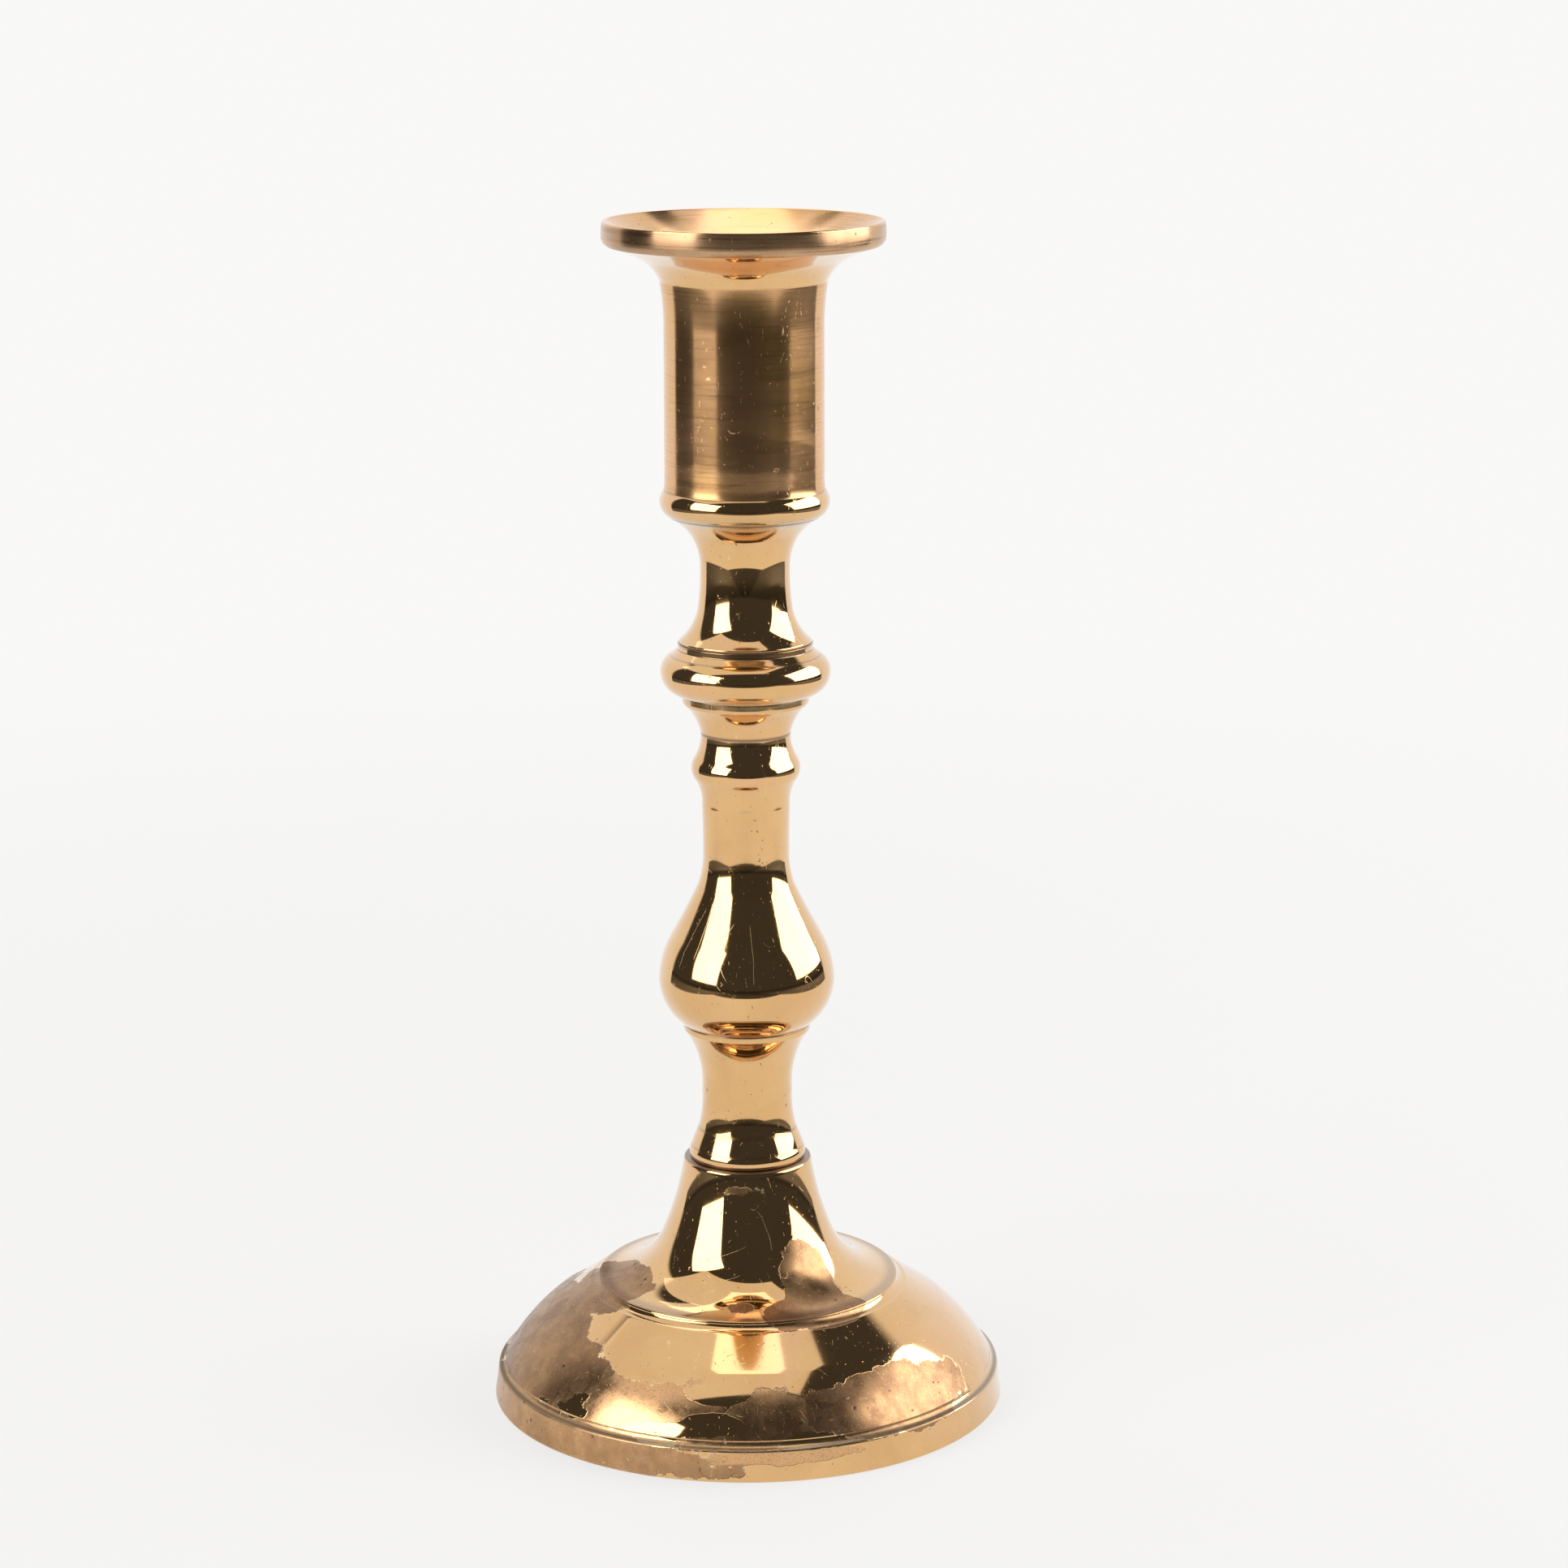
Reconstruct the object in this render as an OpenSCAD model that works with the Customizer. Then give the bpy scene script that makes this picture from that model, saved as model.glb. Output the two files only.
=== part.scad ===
// Turned brass candlestick, 9 inches tall.
// Six turned brass pieces stand on each other, each with a spigot in the socket of the piece
// below. A threaded rod screwed into the cup draws the stack down on the base, and a nut with
// two washers holds it from inside the hollow base. Nothing moves once the nut is tight.
// Millimetres, +Z up, origin at the centre of the foot, on the table.

/* [Base] */
// Width of the foot on the table
foot_w = 99.4; // [98.8:0.1:101]
// Height of the base up to the seat of the stem
base_h = 47.8; // [47.4:0.1:49]
// Width of the flat disc on top of the dome
disc_w = 57.6; // [57:0.1:58.2]
// Width of the collar that carries the stem
collar_w = 24.8; // [24.4:0.1:25.6]
// Width of the inside of the foot ring
foot_inner_w = 91.8; // [91:0.1:92.4]
// Thickness of the brass that the nut pulls against
web_t = 6.8; // [6.4:0.1:7.4]

/* [Stem] */
// Height of the pedestal, from the base to the bulb
pedestal_h = 27; // [26:0.1:29]
// Width of the pedestal's waist
pedestal_waist_w = 17.5; // [16.5:0.1:18.5]
// Height of the baluster, from the pedestal to the knop
baluster_h = 64.5; // [64:0.1:67]
// Width of the bulb
bulb_w = 33.9; // [33:0.1:35]
// Width of the straight shaft above the bulb
shaft_w = 16.6; // [16:0.1:17]
// Width of the waist between the knop and the small bead
waist_w = 17.2; // [16.6:0.1:17.6]
// Height of the knop with its collar
knop_h = 10; // [9.8:0.1:11]
// Width of the knop
knop_w = 32.4; // [31.6:0.1:33.4]
// Height of the neck, from the knop to the cup
neck_h = 24.2; // [23.8:0.1:26]
// Width of the neck at its narrowest
neck_w = 17.1; // [16.4:0.1:17.8]

/* [Cup] */
// Height of the cup from its seat on the neck to the lip
cup_h = 55.1; // [54.8:0.1:58]
// Outer width of the candle socket
cup_w = 30; // [29.6:0.1:30.6]
// Width of the drip pan
pan_w = 53; // [52.4:0.1:54]
// Width of the bore that holds the candle
candle_bore_w = 22.5; // [22.2:0.1:23.5]
// Depth of the straight part of the candle bore
candle_bore_h = 27; // [24:0.1:28]

/* [Fastening] */
// Thread width of the tie rod
rod_w = 6; // [5:0.1:6.2]
// Length of the tie rod's thread in the cup
rod_grip = 11; // [8:0.1:11.4]
// Length of rod that shows below the nut
rod_tail = 3.8; // [2:0.1:6]
// Width of the nut across its flats
nut_w = 10; // [9.5:0.1:11]
// Height of the nut
nut_h = 5; // [4:0.1:6]
// Width of the plain washer
washer_w = 16; // [13:0.1:17]
// Thickness of each washer
washer_t = 1.6; // [1:0.1:1.8]
// Width of the split lock washer
lock_washer_w = 11; // [9.5:0.1:12]
// Width of the slit in the lock washer
slit_w = 0.7; // [0.4:0.1:1.5]
// Width of the spigot under each turned piece
spigot_w = 11; // [10:0.1:12]
// Length of each spigot
spigot_h = 2.5; // [2:0.1:2.8]

/* [Hidden] */

arc_step = 9;        // widest angle that one facet of a round outline spans
slip = 0.05;         // radial clearance of a spigot, and of the thread on the rod
rod_clear = 0.2;     // radial clearance of the rod in the stem
spigot_gap = 0.3;    // space left under each spigot
hole_depth = rod_grip + 1;
over = 1;            // how far a cutting tool runs past a face
smooth = 96;

z_pedestal = base_h;
z_baluster = z_pedestal + pedestal_h;
z_knop = z_baluster + baluster_h;
z_neck = z_knop + knop_h;
z_cup = z_neck + neck_h;
z_web = base_h - web_t;
z_lock_washer = z_web - 2 * washer_t;
z_nut = z_lock_washer - nut_h;
z_rod = z_nut - rod_tail;
z_rod_top = z_cup + rod_grip;

foot_r = foot_w / 2;
disc_r = disc_w / 2;
collar_r = collar_w / 2;
foot_inner_r = foot_inner_w / 2;
bulb_r = bulb_w / 2;
shaft_r = shaft_w / 2;
knop_r = knop_w / 2;
cup_r = cup_w / 2;
pan_r = pan_w / 2;
bore_r = candle_bore_w / 2;

brass = "#d9a860";
pale_brass = "#e3b878";
steel = "#9a9a9c";

// An outline is a list of [radius, height, swell]. Swell is how far the stretch to the next
// point stands out of a straight line: above 0 it is a bead, below 0 a cove, at 0 straight.
// The metal lies on the left of the direction in which the outline runs.
function stretch(p, q, swell) =
    swell == 0 ? [q] :
    let (
        chord = norm(q - p),
        rad = (chord * chord / 4 + swell * swell) / (2 * abs(swell)),
        along = (q - p) / chord,
        out = sign(swell) * [along.y, -along.x],
        centre = (p + q) / 2 - out * (rad - abs(swell)),
        half = asin(chord / 2 / rad),
        count = max(2, ceil(2 * half / arc_step))
    )
    [for (i = [1:count])
        let (a = half * (2 * i / count - 1))
        i == count ? q : centre + rad * (cos(a) * out + sin(a) * along)];

function spot(row) = [row[0], row[1]];

function outline(rows) = [
    spot(rows[0]),
    for (i = [1:len(rows) - 1]) each stretch(spot(rows[i - 1]), spot(rows[i]), rows[i - 1][2])
];

module turned(rows) rotate_extrude($fn = smooth) polygon(outline(rows));

module rod_hole(z, h, r) translate([0, 0, z]) cylinder(h = h, r = r, $fn = smooth);

// A turned piece with a socket in its top for the piece above, and the rod's hole through it.
module stem_piece(rows, h) {
    difference() {
        union() {
            turned(rows);
            spigot();
        }
        rod_hole(-spigot_h - over, h + spigot_h + 2 * over, rod_w / 2 + rod_clear);
        socket(h);
    }
}

module spigot() translate([0, 0, -spigot_h]) cylinder(h = spigot_h + 0.5, d = spigot_w, $fn = smooth);

module socket(h) rod_hole(h - spigot_h - spigot_gap, spigot_h + spigot_gap + over, spigot_w / 2 + slip);

// Hollow base: foot ring, dome, disc, and a concave cone up to the collar.
module base() {
    rows = [
        [foot_inner_r, 0, 0],
        [foot_r - 0.2, 0, 0],
        [foot_r, 0.3, -0.05],
        [foot_r - 0.7, 5.6, 0.1],
        [foot_r - 1.1, 6.1, 0],
        [foot_r - 1.35, 6.15, -0.25],
        [foot_r - 2.3, 7.4, 0.64],
        [foot_r - 11.2, 17.4, 0],
        [disc_r + 2.1, 22.3, -0.25],
        [disc_r + 0.4, 23.4, 0.12],
        [disc_r, 23.95, 0],
        [disc_r - 0.6, 24, -2],
        [collar_r + 4.2, 32.6, -0.5],
        [collar_r, base_h - 0.4, 0],
        [collar_r - 0.3, base_h, 0],
        [0, base_h, 0],
        [0, z_web, 0],
        [collar_r - 3.4, z_web, -0.2],
        [collar_r - 2.8, z_web - 0.8, 0.3],
        [collar_r + 1, 31.2, 2.1],
        [disc_r - 2, 20.9, 0],
        [disc_r - 0.2, 19.8, 0],
        [foot_inner_r - 9.6, 14.9, -0.5],
        [foot_inner_r - 1.6, 6, -0.1],
    ];
    color(brass)
    difference() {
        turned(rows);
        rod_hole(z_web - over, web_t + 2 * over, rod_w / 2 + rod_clear);
        socket(base_h);
    }
}

// Foot bead, long waist, and the ring that the bulb sits on.
module pedestal() {
    top = pedestal_h;
    waist_r = pedestal_waist_w / 2;
    rows = [
        [0, 0, 0],
        [10.9, 0, 0.1],
        [11.25, 1, 0.1],
        [10.9, 2.4, 0.05],
        [waist_r + 0.75, 6, -0.3],
        [waist_r, 13.6, -0.64],
        [waist_r + 1.9, top - 3.7, -0.05],
        [12.05, top - 1.4, 0.05],
        [12.25, top - 0.9, 0],
        [12.25, top, 0],
        [0, top, 0],
    ];
    color(pale_brass) translate([0, 0, z_pedestal]) stem_piece(rows, top);
}

// Bulb, shaft, small bead, waist and the ring under the knop.
module baluster() {
    top = baluster_h;
    waist_r = waist_w / 2;
    rows = [
        [0, 0, 0],
        [12.3, 0, 0],
        [12.55, 0.25, 1.08],
        [bulb_r, 8.6, 0.6],
        [bulb_r - 2.6, 17.7, -0.1],
        [shaft_r + 1.05, 27.3, -0.3],
        [shaft_r, 33.4, 0],
        [shaft_r, 43.2, -0.44],
        [shaft_r + 1.65, 48.4, 0.5],
        [shaft_r + 1.65, 52.1, -0.25],
        [waist_r, top - 8.4, 0],
        [waist_r, top - 7.4, -0.52],
        [11.9, top - 1.7, 0],
        [12.1, top - 1.2, 0],
        [12.1, top, 0],
        [0, top, 0],
    ];
    color(brass) translate([0, 0, z_baluster]) stem_piece(rows, top);
}

// Thick round ring with a low collar on top.
module knop() {
    rows = [
        [0, 0, 0],
        [12.4, 0, 0],
        [12.9, 0.2, 0.85],
        [knop_r, 4.2, 0.6],
        [knop_r - 1.9, 7.7, 0],
        [12.85, 8.9, 0],
        [12.85, knop_h, 0],
        [0, knop_h, 0],
    ];
    color(brass) translate([0, 0, z_knop]) stem_piece(rows, knop_h);
}

// Slender waist that flares at both ends.
module neck() {
    top = neck_h;
    waist_r = neck_w / 2;
    rows = [
        [0, 0, 0],
        [12.55, 0, 0],
        [12.55, 0.5, -0.6],
        [waist_r + 0.5, 6.4, -0.18],
        [waist_r, 14.5, -0.5],
        [waist_r + 1.85, top - 3.5, -0.26],
        [14.45, top, 0],
        [0, top, 0],
    ];
    color(pale_brass) translate([0, 0, z_neck]) stem_piece(rows, top);
}

// Bead, straight socket and flared drip pan with the candle bore.
module candle_cup() {
    lip = cup_h;
    mouth = cup_h - 8.6;
    floor_z = mouth - candle_bore_h;
    rows = [
        [0, 0, 0],
        [14.4, 0, 1.27],
        [cup_r + 0.2, 5, -0.05],
        [cup_r + 0.05, 7, 0],
        [cup_r, lip - 19.6, -0.18],
        [cup_r + 0.7, lip - 11.2, -0.45],
        [cup_r + 4.35, lip - 7.1, -0.12],
        [pan_r - 1.2, lip - 4.6, 0.2],
        [pan_r - 0.1, lip - 3.3, 0.1],
        [pan_r - 0.2, lip - 0.35, 0.1],
        [pan_r - 0.55, lip, 0],
        [pan_r - 0.75, lip, 0.03],
        [pan_r - 1, lip - 0.15, -0.5],
        [bore_r + 1.95, lip - 6.4, 0.55],
        [bore_r, mouth, 0],
        [bore_r, floor_z, -0.3],
        [bore_r - 1, floor_z - 1, 0],
        [0, floor_z - 1, 0],
    ];
    color(brass)
    translate([0, 0, z_cup])
    difference() {
        union() {
            turned(rows);
            spigot();
        }
        rod_hole(-spigot_h - over, spigot_h + over + hole_depth, rod_w / 2 + slip);
    }
}

// Threaded rod from the cup to the nut, drawn at its full thread width, with bevelled ends.
module tie_rod() {
    r = rod_w / 2;
    bevel = 0.6;
    rows = [
        [0, z_rod, 0],
        [r - bevel, z_rod, 0],
        [r, z_rod + bevel, 0],
        [r, z_rod_top - bevel, 0],
        [r - bevel, z_rod_top, 0],
        [0, z_rod_top, 0],
    ];
    color(steel) turned(rows);
}

module plain_washer() {
    color(steel)
    difference() {
        rod_hole(z_web - washer_t, washer_t, washer_w / 2);
        rod_hole(z_web - washer_t - over, washer_t + 2 * over, rod_w / 2 + 0.25);
    }
}

module lock_washer() {
    color(steel)
    difference() {
        rod_hole(z_lock_washer, washer_t, lock_washer_w / 2);
        rod_hole(z_lock_washer - over, washer_t + 2 * over, rod_w / 2 + 0.1);
        translate([0, -slit_w / 2, z_lock_washer - over]) cube([washer_w, slit_w, washer_t + 2 * over]);
    }
}

module hex_nut() {
    corner_r = nut_w / 2 / cos(30);
    color(steel)
    difference() {
        translate([0, 0, z_nut]) cylinder(h = nut_h, r = corner_r, $fn = 6);
        rod_hole(z_nut - over, nut_h + 2 * over, rod_w / 2 + slip);
    }
}

base();
pedestal();
baluster();
knop();
neck();
candle_cup();
tie_rod();
plain_washer();
lock_washer();
hex_nut();
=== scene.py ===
"""Turned brass candlestick: the looks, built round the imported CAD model.

Every visible brass piece is a surface of revolution with the same outline as its CAD node, but
fine enough to mirror the studio cleanly. The rod, nut and washers get real threads and
chamfers. Lengths are in millimetres inside the classes and in metres in the meshes.
"""

import logging
import math
from dataclasses import dataclass, field
from enum import Enum
from itertools import accumulate

import bpy
import numpy as np
from mathutils import Matrix, Quaternion, Vector


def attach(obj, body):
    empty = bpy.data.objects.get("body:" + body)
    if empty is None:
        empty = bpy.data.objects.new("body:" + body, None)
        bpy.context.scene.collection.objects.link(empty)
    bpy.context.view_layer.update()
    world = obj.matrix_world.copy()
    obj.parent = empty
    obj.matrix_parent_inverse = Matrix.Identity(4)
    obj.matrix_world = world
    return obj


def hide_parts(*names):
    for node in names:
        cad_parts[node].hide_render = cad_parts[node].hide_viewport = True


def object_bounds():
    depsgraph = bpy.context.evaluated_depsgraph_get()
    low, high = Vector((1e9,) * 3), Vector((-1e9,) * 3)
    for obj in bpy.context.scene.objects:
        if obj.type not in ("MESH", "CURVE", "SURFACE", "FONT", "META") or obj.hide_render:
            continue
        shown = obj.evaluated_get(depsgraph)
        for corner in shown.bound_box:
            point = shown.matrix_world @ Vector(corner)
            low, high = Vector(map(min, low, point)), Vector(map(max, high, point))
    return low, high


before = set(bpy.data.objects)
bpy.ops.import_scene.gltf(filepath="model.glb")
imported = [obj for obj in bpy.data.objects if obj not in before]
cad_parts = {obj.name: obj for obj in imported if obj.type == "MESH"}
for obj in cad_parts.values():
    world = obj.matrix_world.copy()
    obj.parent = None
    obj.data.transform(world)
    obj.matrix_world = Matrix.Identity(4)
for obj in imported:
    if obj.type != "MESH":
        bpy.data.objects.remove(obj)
CAD_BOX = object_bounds()

LOG = logging.getLogger("candlestick")
MM = 0.001
ROOT = "root"
HEIGHT = CAD_BOX[1][2] - CAD_BOX[0][2]

CORNER = math.radians(14)
CORNER_POINTS = 5
WIDEST_ARC_STEP = math.radians(4)
INSIDE_STEP = 2.5

WARM_WHITE = (1.0, 0.995, 0.985)

Rows = list[tuple[float, float, float]]
Colour = tuple[float, float, float, float]
Socket = bpy.types.NodeSocket
Value = Socket | float | tuple[float, ...]


class Side(Enum):
    """Which finish a stretch of a turned piece takes, as the mesh's material index."""

    SHOWN = 0
    INSIDE = 1
    BRUSHED = 2
    TURNED = 3


# --------------------------------------------------------------------------- outlines


def stretch(p: np.ndarray, q: np.ndarray, swell: float, step: float) -> np.ndarray:
    """Walks from p to q along an arc that stands out by swell, or along a straight line.

    The arc's radius is (chord^2 / 4 + swell^2) / (2 |swell|), and its centre lies on the
    chord's middle normal, at radius - |swell| from the chord.

    Args:
        p: start, as radius and height in millimetres.
        q: end.
        swell: how far the arc stands out to the right of the way from p to q.
        step: longest distance between two points.

    Returns:
        The points after p, up to and including q, as an (n, 2) array.
    """
    chord = float(np.linalg.norm(q - p))
    if abs(swell) < 1e-6:
        count = max(1, math.ceil(chord / step))
        t = np.arange(1, count + 1)[:, None] / count
        return p + (q - p) * t
    radius = (chord * chord / 4 + swell * swell) / (2 * abs(swell))
    along = (q - p) / chord
    out = math.copysign(1.0, swell) * np.array([along[1], -along[0]])
    centre = (p + q) / 2 - out * (radius - abs(swell))
    half = math.asin(min(1.0, chord / 2 / radius))
    count = max(4, math.ceil(2 * half * radius / step), math.ceil(2 * half / WIDEST_ARC_STEP))
    a = (half * (2 * np.arange(1, count + 1) / count - 1))[:, None]
    points = centre + radius * (np.cos(a) * out + np.sin(a) * along)
    points[-1] = q
    return points


def eased(points: np.ndarray, tags: np.ndarray, ease: float) -> tuple[np.ndarray, np.ndarray]:
    """Rounds each sharp corner of an outline with a small quadratic curve.

    A corner is a point where the way turns by more than CORNER. It is replaced by points of
    the Bezier curve that starts and ends up to ease away from it, at most 45% of the way to
    the next point.

    Args:
        points: the outline, (n, 2), in millimetres.
        tags: the side of the stretch that ends at each point.
        ease: how far from the corner the rounding starts, in millimetres.

    Returns:
        The rounded outline and its tags.
    """
    before = points[1:-1] - points[:-2]
    after = points[2:] - points[1:-1]
    lengths = np.linalg.norm(before, axis=1), np.linalg.norm(after, axis=1)
    cosine = (before * after).sum(1) / np.maximum(lengths[0] * lengths[1], 1e-12)
    sharp = cosine < math.cos(CORNER)
    out, out_tags = [points[:1]], [tags[:1]]
    t = np.linspace(0, 1, CORNER_POINTS)[:, None]
    for i, corner in enumerate(points[1:-1]):
        if not sharp[i]:
            out.append(corner[None])
            out_tags.append(tags[i + 1 : i + 2])
            continue
        reach = min(ease, 0.45 * lengths[0][i], 0.45 * lengths[1][i])
        start = corner - before[i] / lengths[0][i] * reach
        end = corner + after[i] / lengths[1][i] * reach
        out.append((1 - t) ** 2 * start + 2 * t * (1 - t) * corner + t**2 * end)
        out_tags.append(np.repeat(tags[i + 1], CORNER_POINTS))
    out.append(points[-1:])
    out_tags.append(tags[-1:])
    return np.vstack(out), np.concatenate(out_tags)


def outline(parts: list[tuple[Side, Rows]], step: float, ease: float) -> tuple[np.ndarray, np.ndarray]:
    """Turns lists of [radius, height, swell] into one fine outline.

    Each row describes the stretch that starts there. Where the outline doesn't start on the
    axis, its last row's stretch runs back to the first row.

    Args:
        parts: the rows in the order of the outline, each list with its side.
        step: longest distance between two points, or INSIDE_STEP times that on the inside.
        ease: size of the rounding at sharp corners.

    Returns:
        The points in millimetres, (n, 2), and the side of the stretch that ends at each.
    """
    rows = [row for _, rows in parts for row in rows]
    sides = [side.value for side, rows in parts for _ in rows]
    closed = rows[0][0] > 0
    spots = [np.array(row[:2], float) for row in rows + rows[:1] * closed]
    points, tags = [spots[0][None]], [np.array(sides[:1])]
    for (p, q), row, side in zip(zip(spots, spots[1:]), rows, sides):
        part = stretch(p, q, row[2], step * INSIDE_STEP if side == Side.INSIDE.value else step)
        points.append(part)
        tags.append(np.full(len(part), side))
    co, tag = eased(np.vstack(points), np.concatenate(tags), ease)
    if closed:
        co, tag = co[:-1], np.concatenate([tag[-1:], tag[1:-1]])
    return co, tag


# --------------------------------------------------------------------------- meshes


def make_mesh(name: str, co: np.ndarray, quads: np.ndarray, tris: np.ndarray) -> bpy.types.Object:
    """Makes a smooth mesh object at the origin from whole arrays.

    Args:
        name: name of the object and its mesh.
        co: vertices in metres, (n, 3).
        quads: vertex numbers of the four-sided faces, (m, 4).
        tris: vertex numbers of the triangles, (k, 3).

    Returns:
        The new object, linked to the scene.
    """
    mesh = bpy.data.meshes.new(name)
    loops = np.concatenate([quads.ravel(), tris.ravel()]).astype(np.int32)
    sizes = np.concatenate([np.full(len(quads), 4), np.full(len(tris), 3)]).astype(np.int32)
    starts = np.concatenate([[0], np.cumsum(sizes)[:-1]]).astype(np.int32)
    mesh.vertices.add(len(co))
    mesh.vertices.foreach_set("co", co.astype(np.float32).ravel())
    mesh.loops.add(len(loops))
    mesh.loops.foreach_set("vertex_index", loops)
    mesh.polygons.add(len(sizes))
    mesh.polygons.foreach_set("loop_start", starts)
    mesh.polygons.foreach_set("use_smooth", np.ones(len(sizes), bool))
    mesh.update(calc_edges=True)
    mesh.validate()
    obj = bpy.data.objects.new(name, mesh)
    bpy.context.scene.collection.objects.link(obj)
    return obj


def round_z(r: np.ndarray, angle: np.ndarray, z: np.ndarray) -> np.ndarray:
    """Points at x = r cos(angle), y = r sin(angle) and height z, as an (n, 3) array."""
    return np.stack([r * np.cos(angle), r * np.sin(angle), z + 0 * angle], axis=-1).reshape(-1, 3)


def grid_faces(rows: int, columns: int) -> np.ndarray:
    """Faces between the points of a grid that closes on itself across its columns.

    Args:
        rows: number of rows of points.
        columns: number of points in each row.

    Returns:
        Vertex numbers, (n, 4), wound so that they face outwards where rows run upwards and
        columns run anticlockwise seen from above.
    """
    i, j = np.meshgrid(np.arange(rows - 1), np.arange(columns), indexing="ij")
    nxt = (j + 1) % columns
    corners = (i * columns + j, i * columns + nxt, (i + 1) * columns + nxt, (i + 1) * columns + j)
    return np.stack(corners, axis=-1).reshape(-1, 4)


def fan(hub: int, rim: np.ndarray) -> np.ndarray:
    """Triangles from one vertex to each step of a closed ring of vertices, wound along the ring."""
    return np.stack([np.full(len(rim), hub), rim, np.roll(rim, -1)], axis=-1)


def revolve(name: str, points: np.ndarray, tags: np.ndarray, around: int) -> bpy.types.Object:
    """Turns an outline round Z: x = r cos(a), y = r sin(a), z = height, for a over a full turn.

    The outline runs with the metal on its left, so faces wound along the outline and then
    round the axis point outwards. An outline that starts and ends on the axis closes there
    with a fan of triangles. Any other outline joins its last point to its first.

    Args:
        name: the object's name.
        points: radius and height in metres, (n, 2).
        tags: the side of the stretch that ends at each point.
        around: how many steps the full turn has.

    Returns:
        The new object, with the sides as material indices.
    """
    solid = points[0, 0] < 1e-9 and points[-1, 0] < 1e-9
    ring = points[1:-1] if solid else points
    ring_tags = tags[1:] if solid else np.append(tags[1:], tags[0])
    angle = 2 * math.pi * np.arange(around) / around
    co = round_z(ring[:, 0:1], angle, ring[:, 1:2])
    quads = grid_faces(len(ring) + (not solid), around) % len(co)
    tris = np.zeros((0, 3), int)
    if solid:
        first = np.arange(around)
        last = first + (len(ring) - 1) * around
        tris = np.vstack([fan(len(co), first[::-1]), fan(len(co) + 1, last)])
        co = np.vstack([co, [0, 0, points[0, 1]], [0, 0, points[-1, 1]]])
        ends = np.full(around, tags[1]), np.full(around, tags[-1])
        face_tags = np.concatenate([np.repeat(ring_tags[1:-1], around), *ends])
    else:
        face_tags = np.repeat(ring_tags, around)
    obj = make_mesh(name, co, quads, tris)
    obj.data.polygons.foreach_set("material_index", face_tags.astype(np.int32))
    return obj


def paint(obj: bpy.types.Object, name: str, values: np.ndarray) -> None:
    """Stores one number for each vertex under a name that a material can read."""
    layer = obj.data.attributes.new(name, "FLOAT", "POINT")
    layer.data.foreach_set("value", values.astype(np.float32))


def vertices(obj: bpy.types.Object) -> np.ndarray:
    """Reads an object's vertices.

    Args:
        obj: the object.

    Returns:
        Its vertices in millimetres, as an (n, 3) array.
    """
    co = np.empty(len(obj.data.vertices) * 3, np.float32)
    obj.data.vertices.foreach_get("co", co)
    return co.reshape(-1, 3).astype(float) / MM


def place_in_frame(obj: bpy.types.Object, node: str,
                   finishes: list[bpy.types.Material]) -> None:
    """Gives a piece its finishes, puts it in its CAD node's place and reports it.

    Args:
        obj: the piece.
        node: the CAD node that it stands for.
        finishes: its materials, in the order of the mesh's material indices.
    """
    for material in finishes:
        obj.data.materials.append(material)
    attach(obj, ROOT)
    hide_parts(node)
    LOG.info("%s: %d vertices, %d faces", obj.name, len(obj.data.vertices), len(obj.data.polygons))


# --------------------------------------------------------------------------- node helpers


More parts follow.
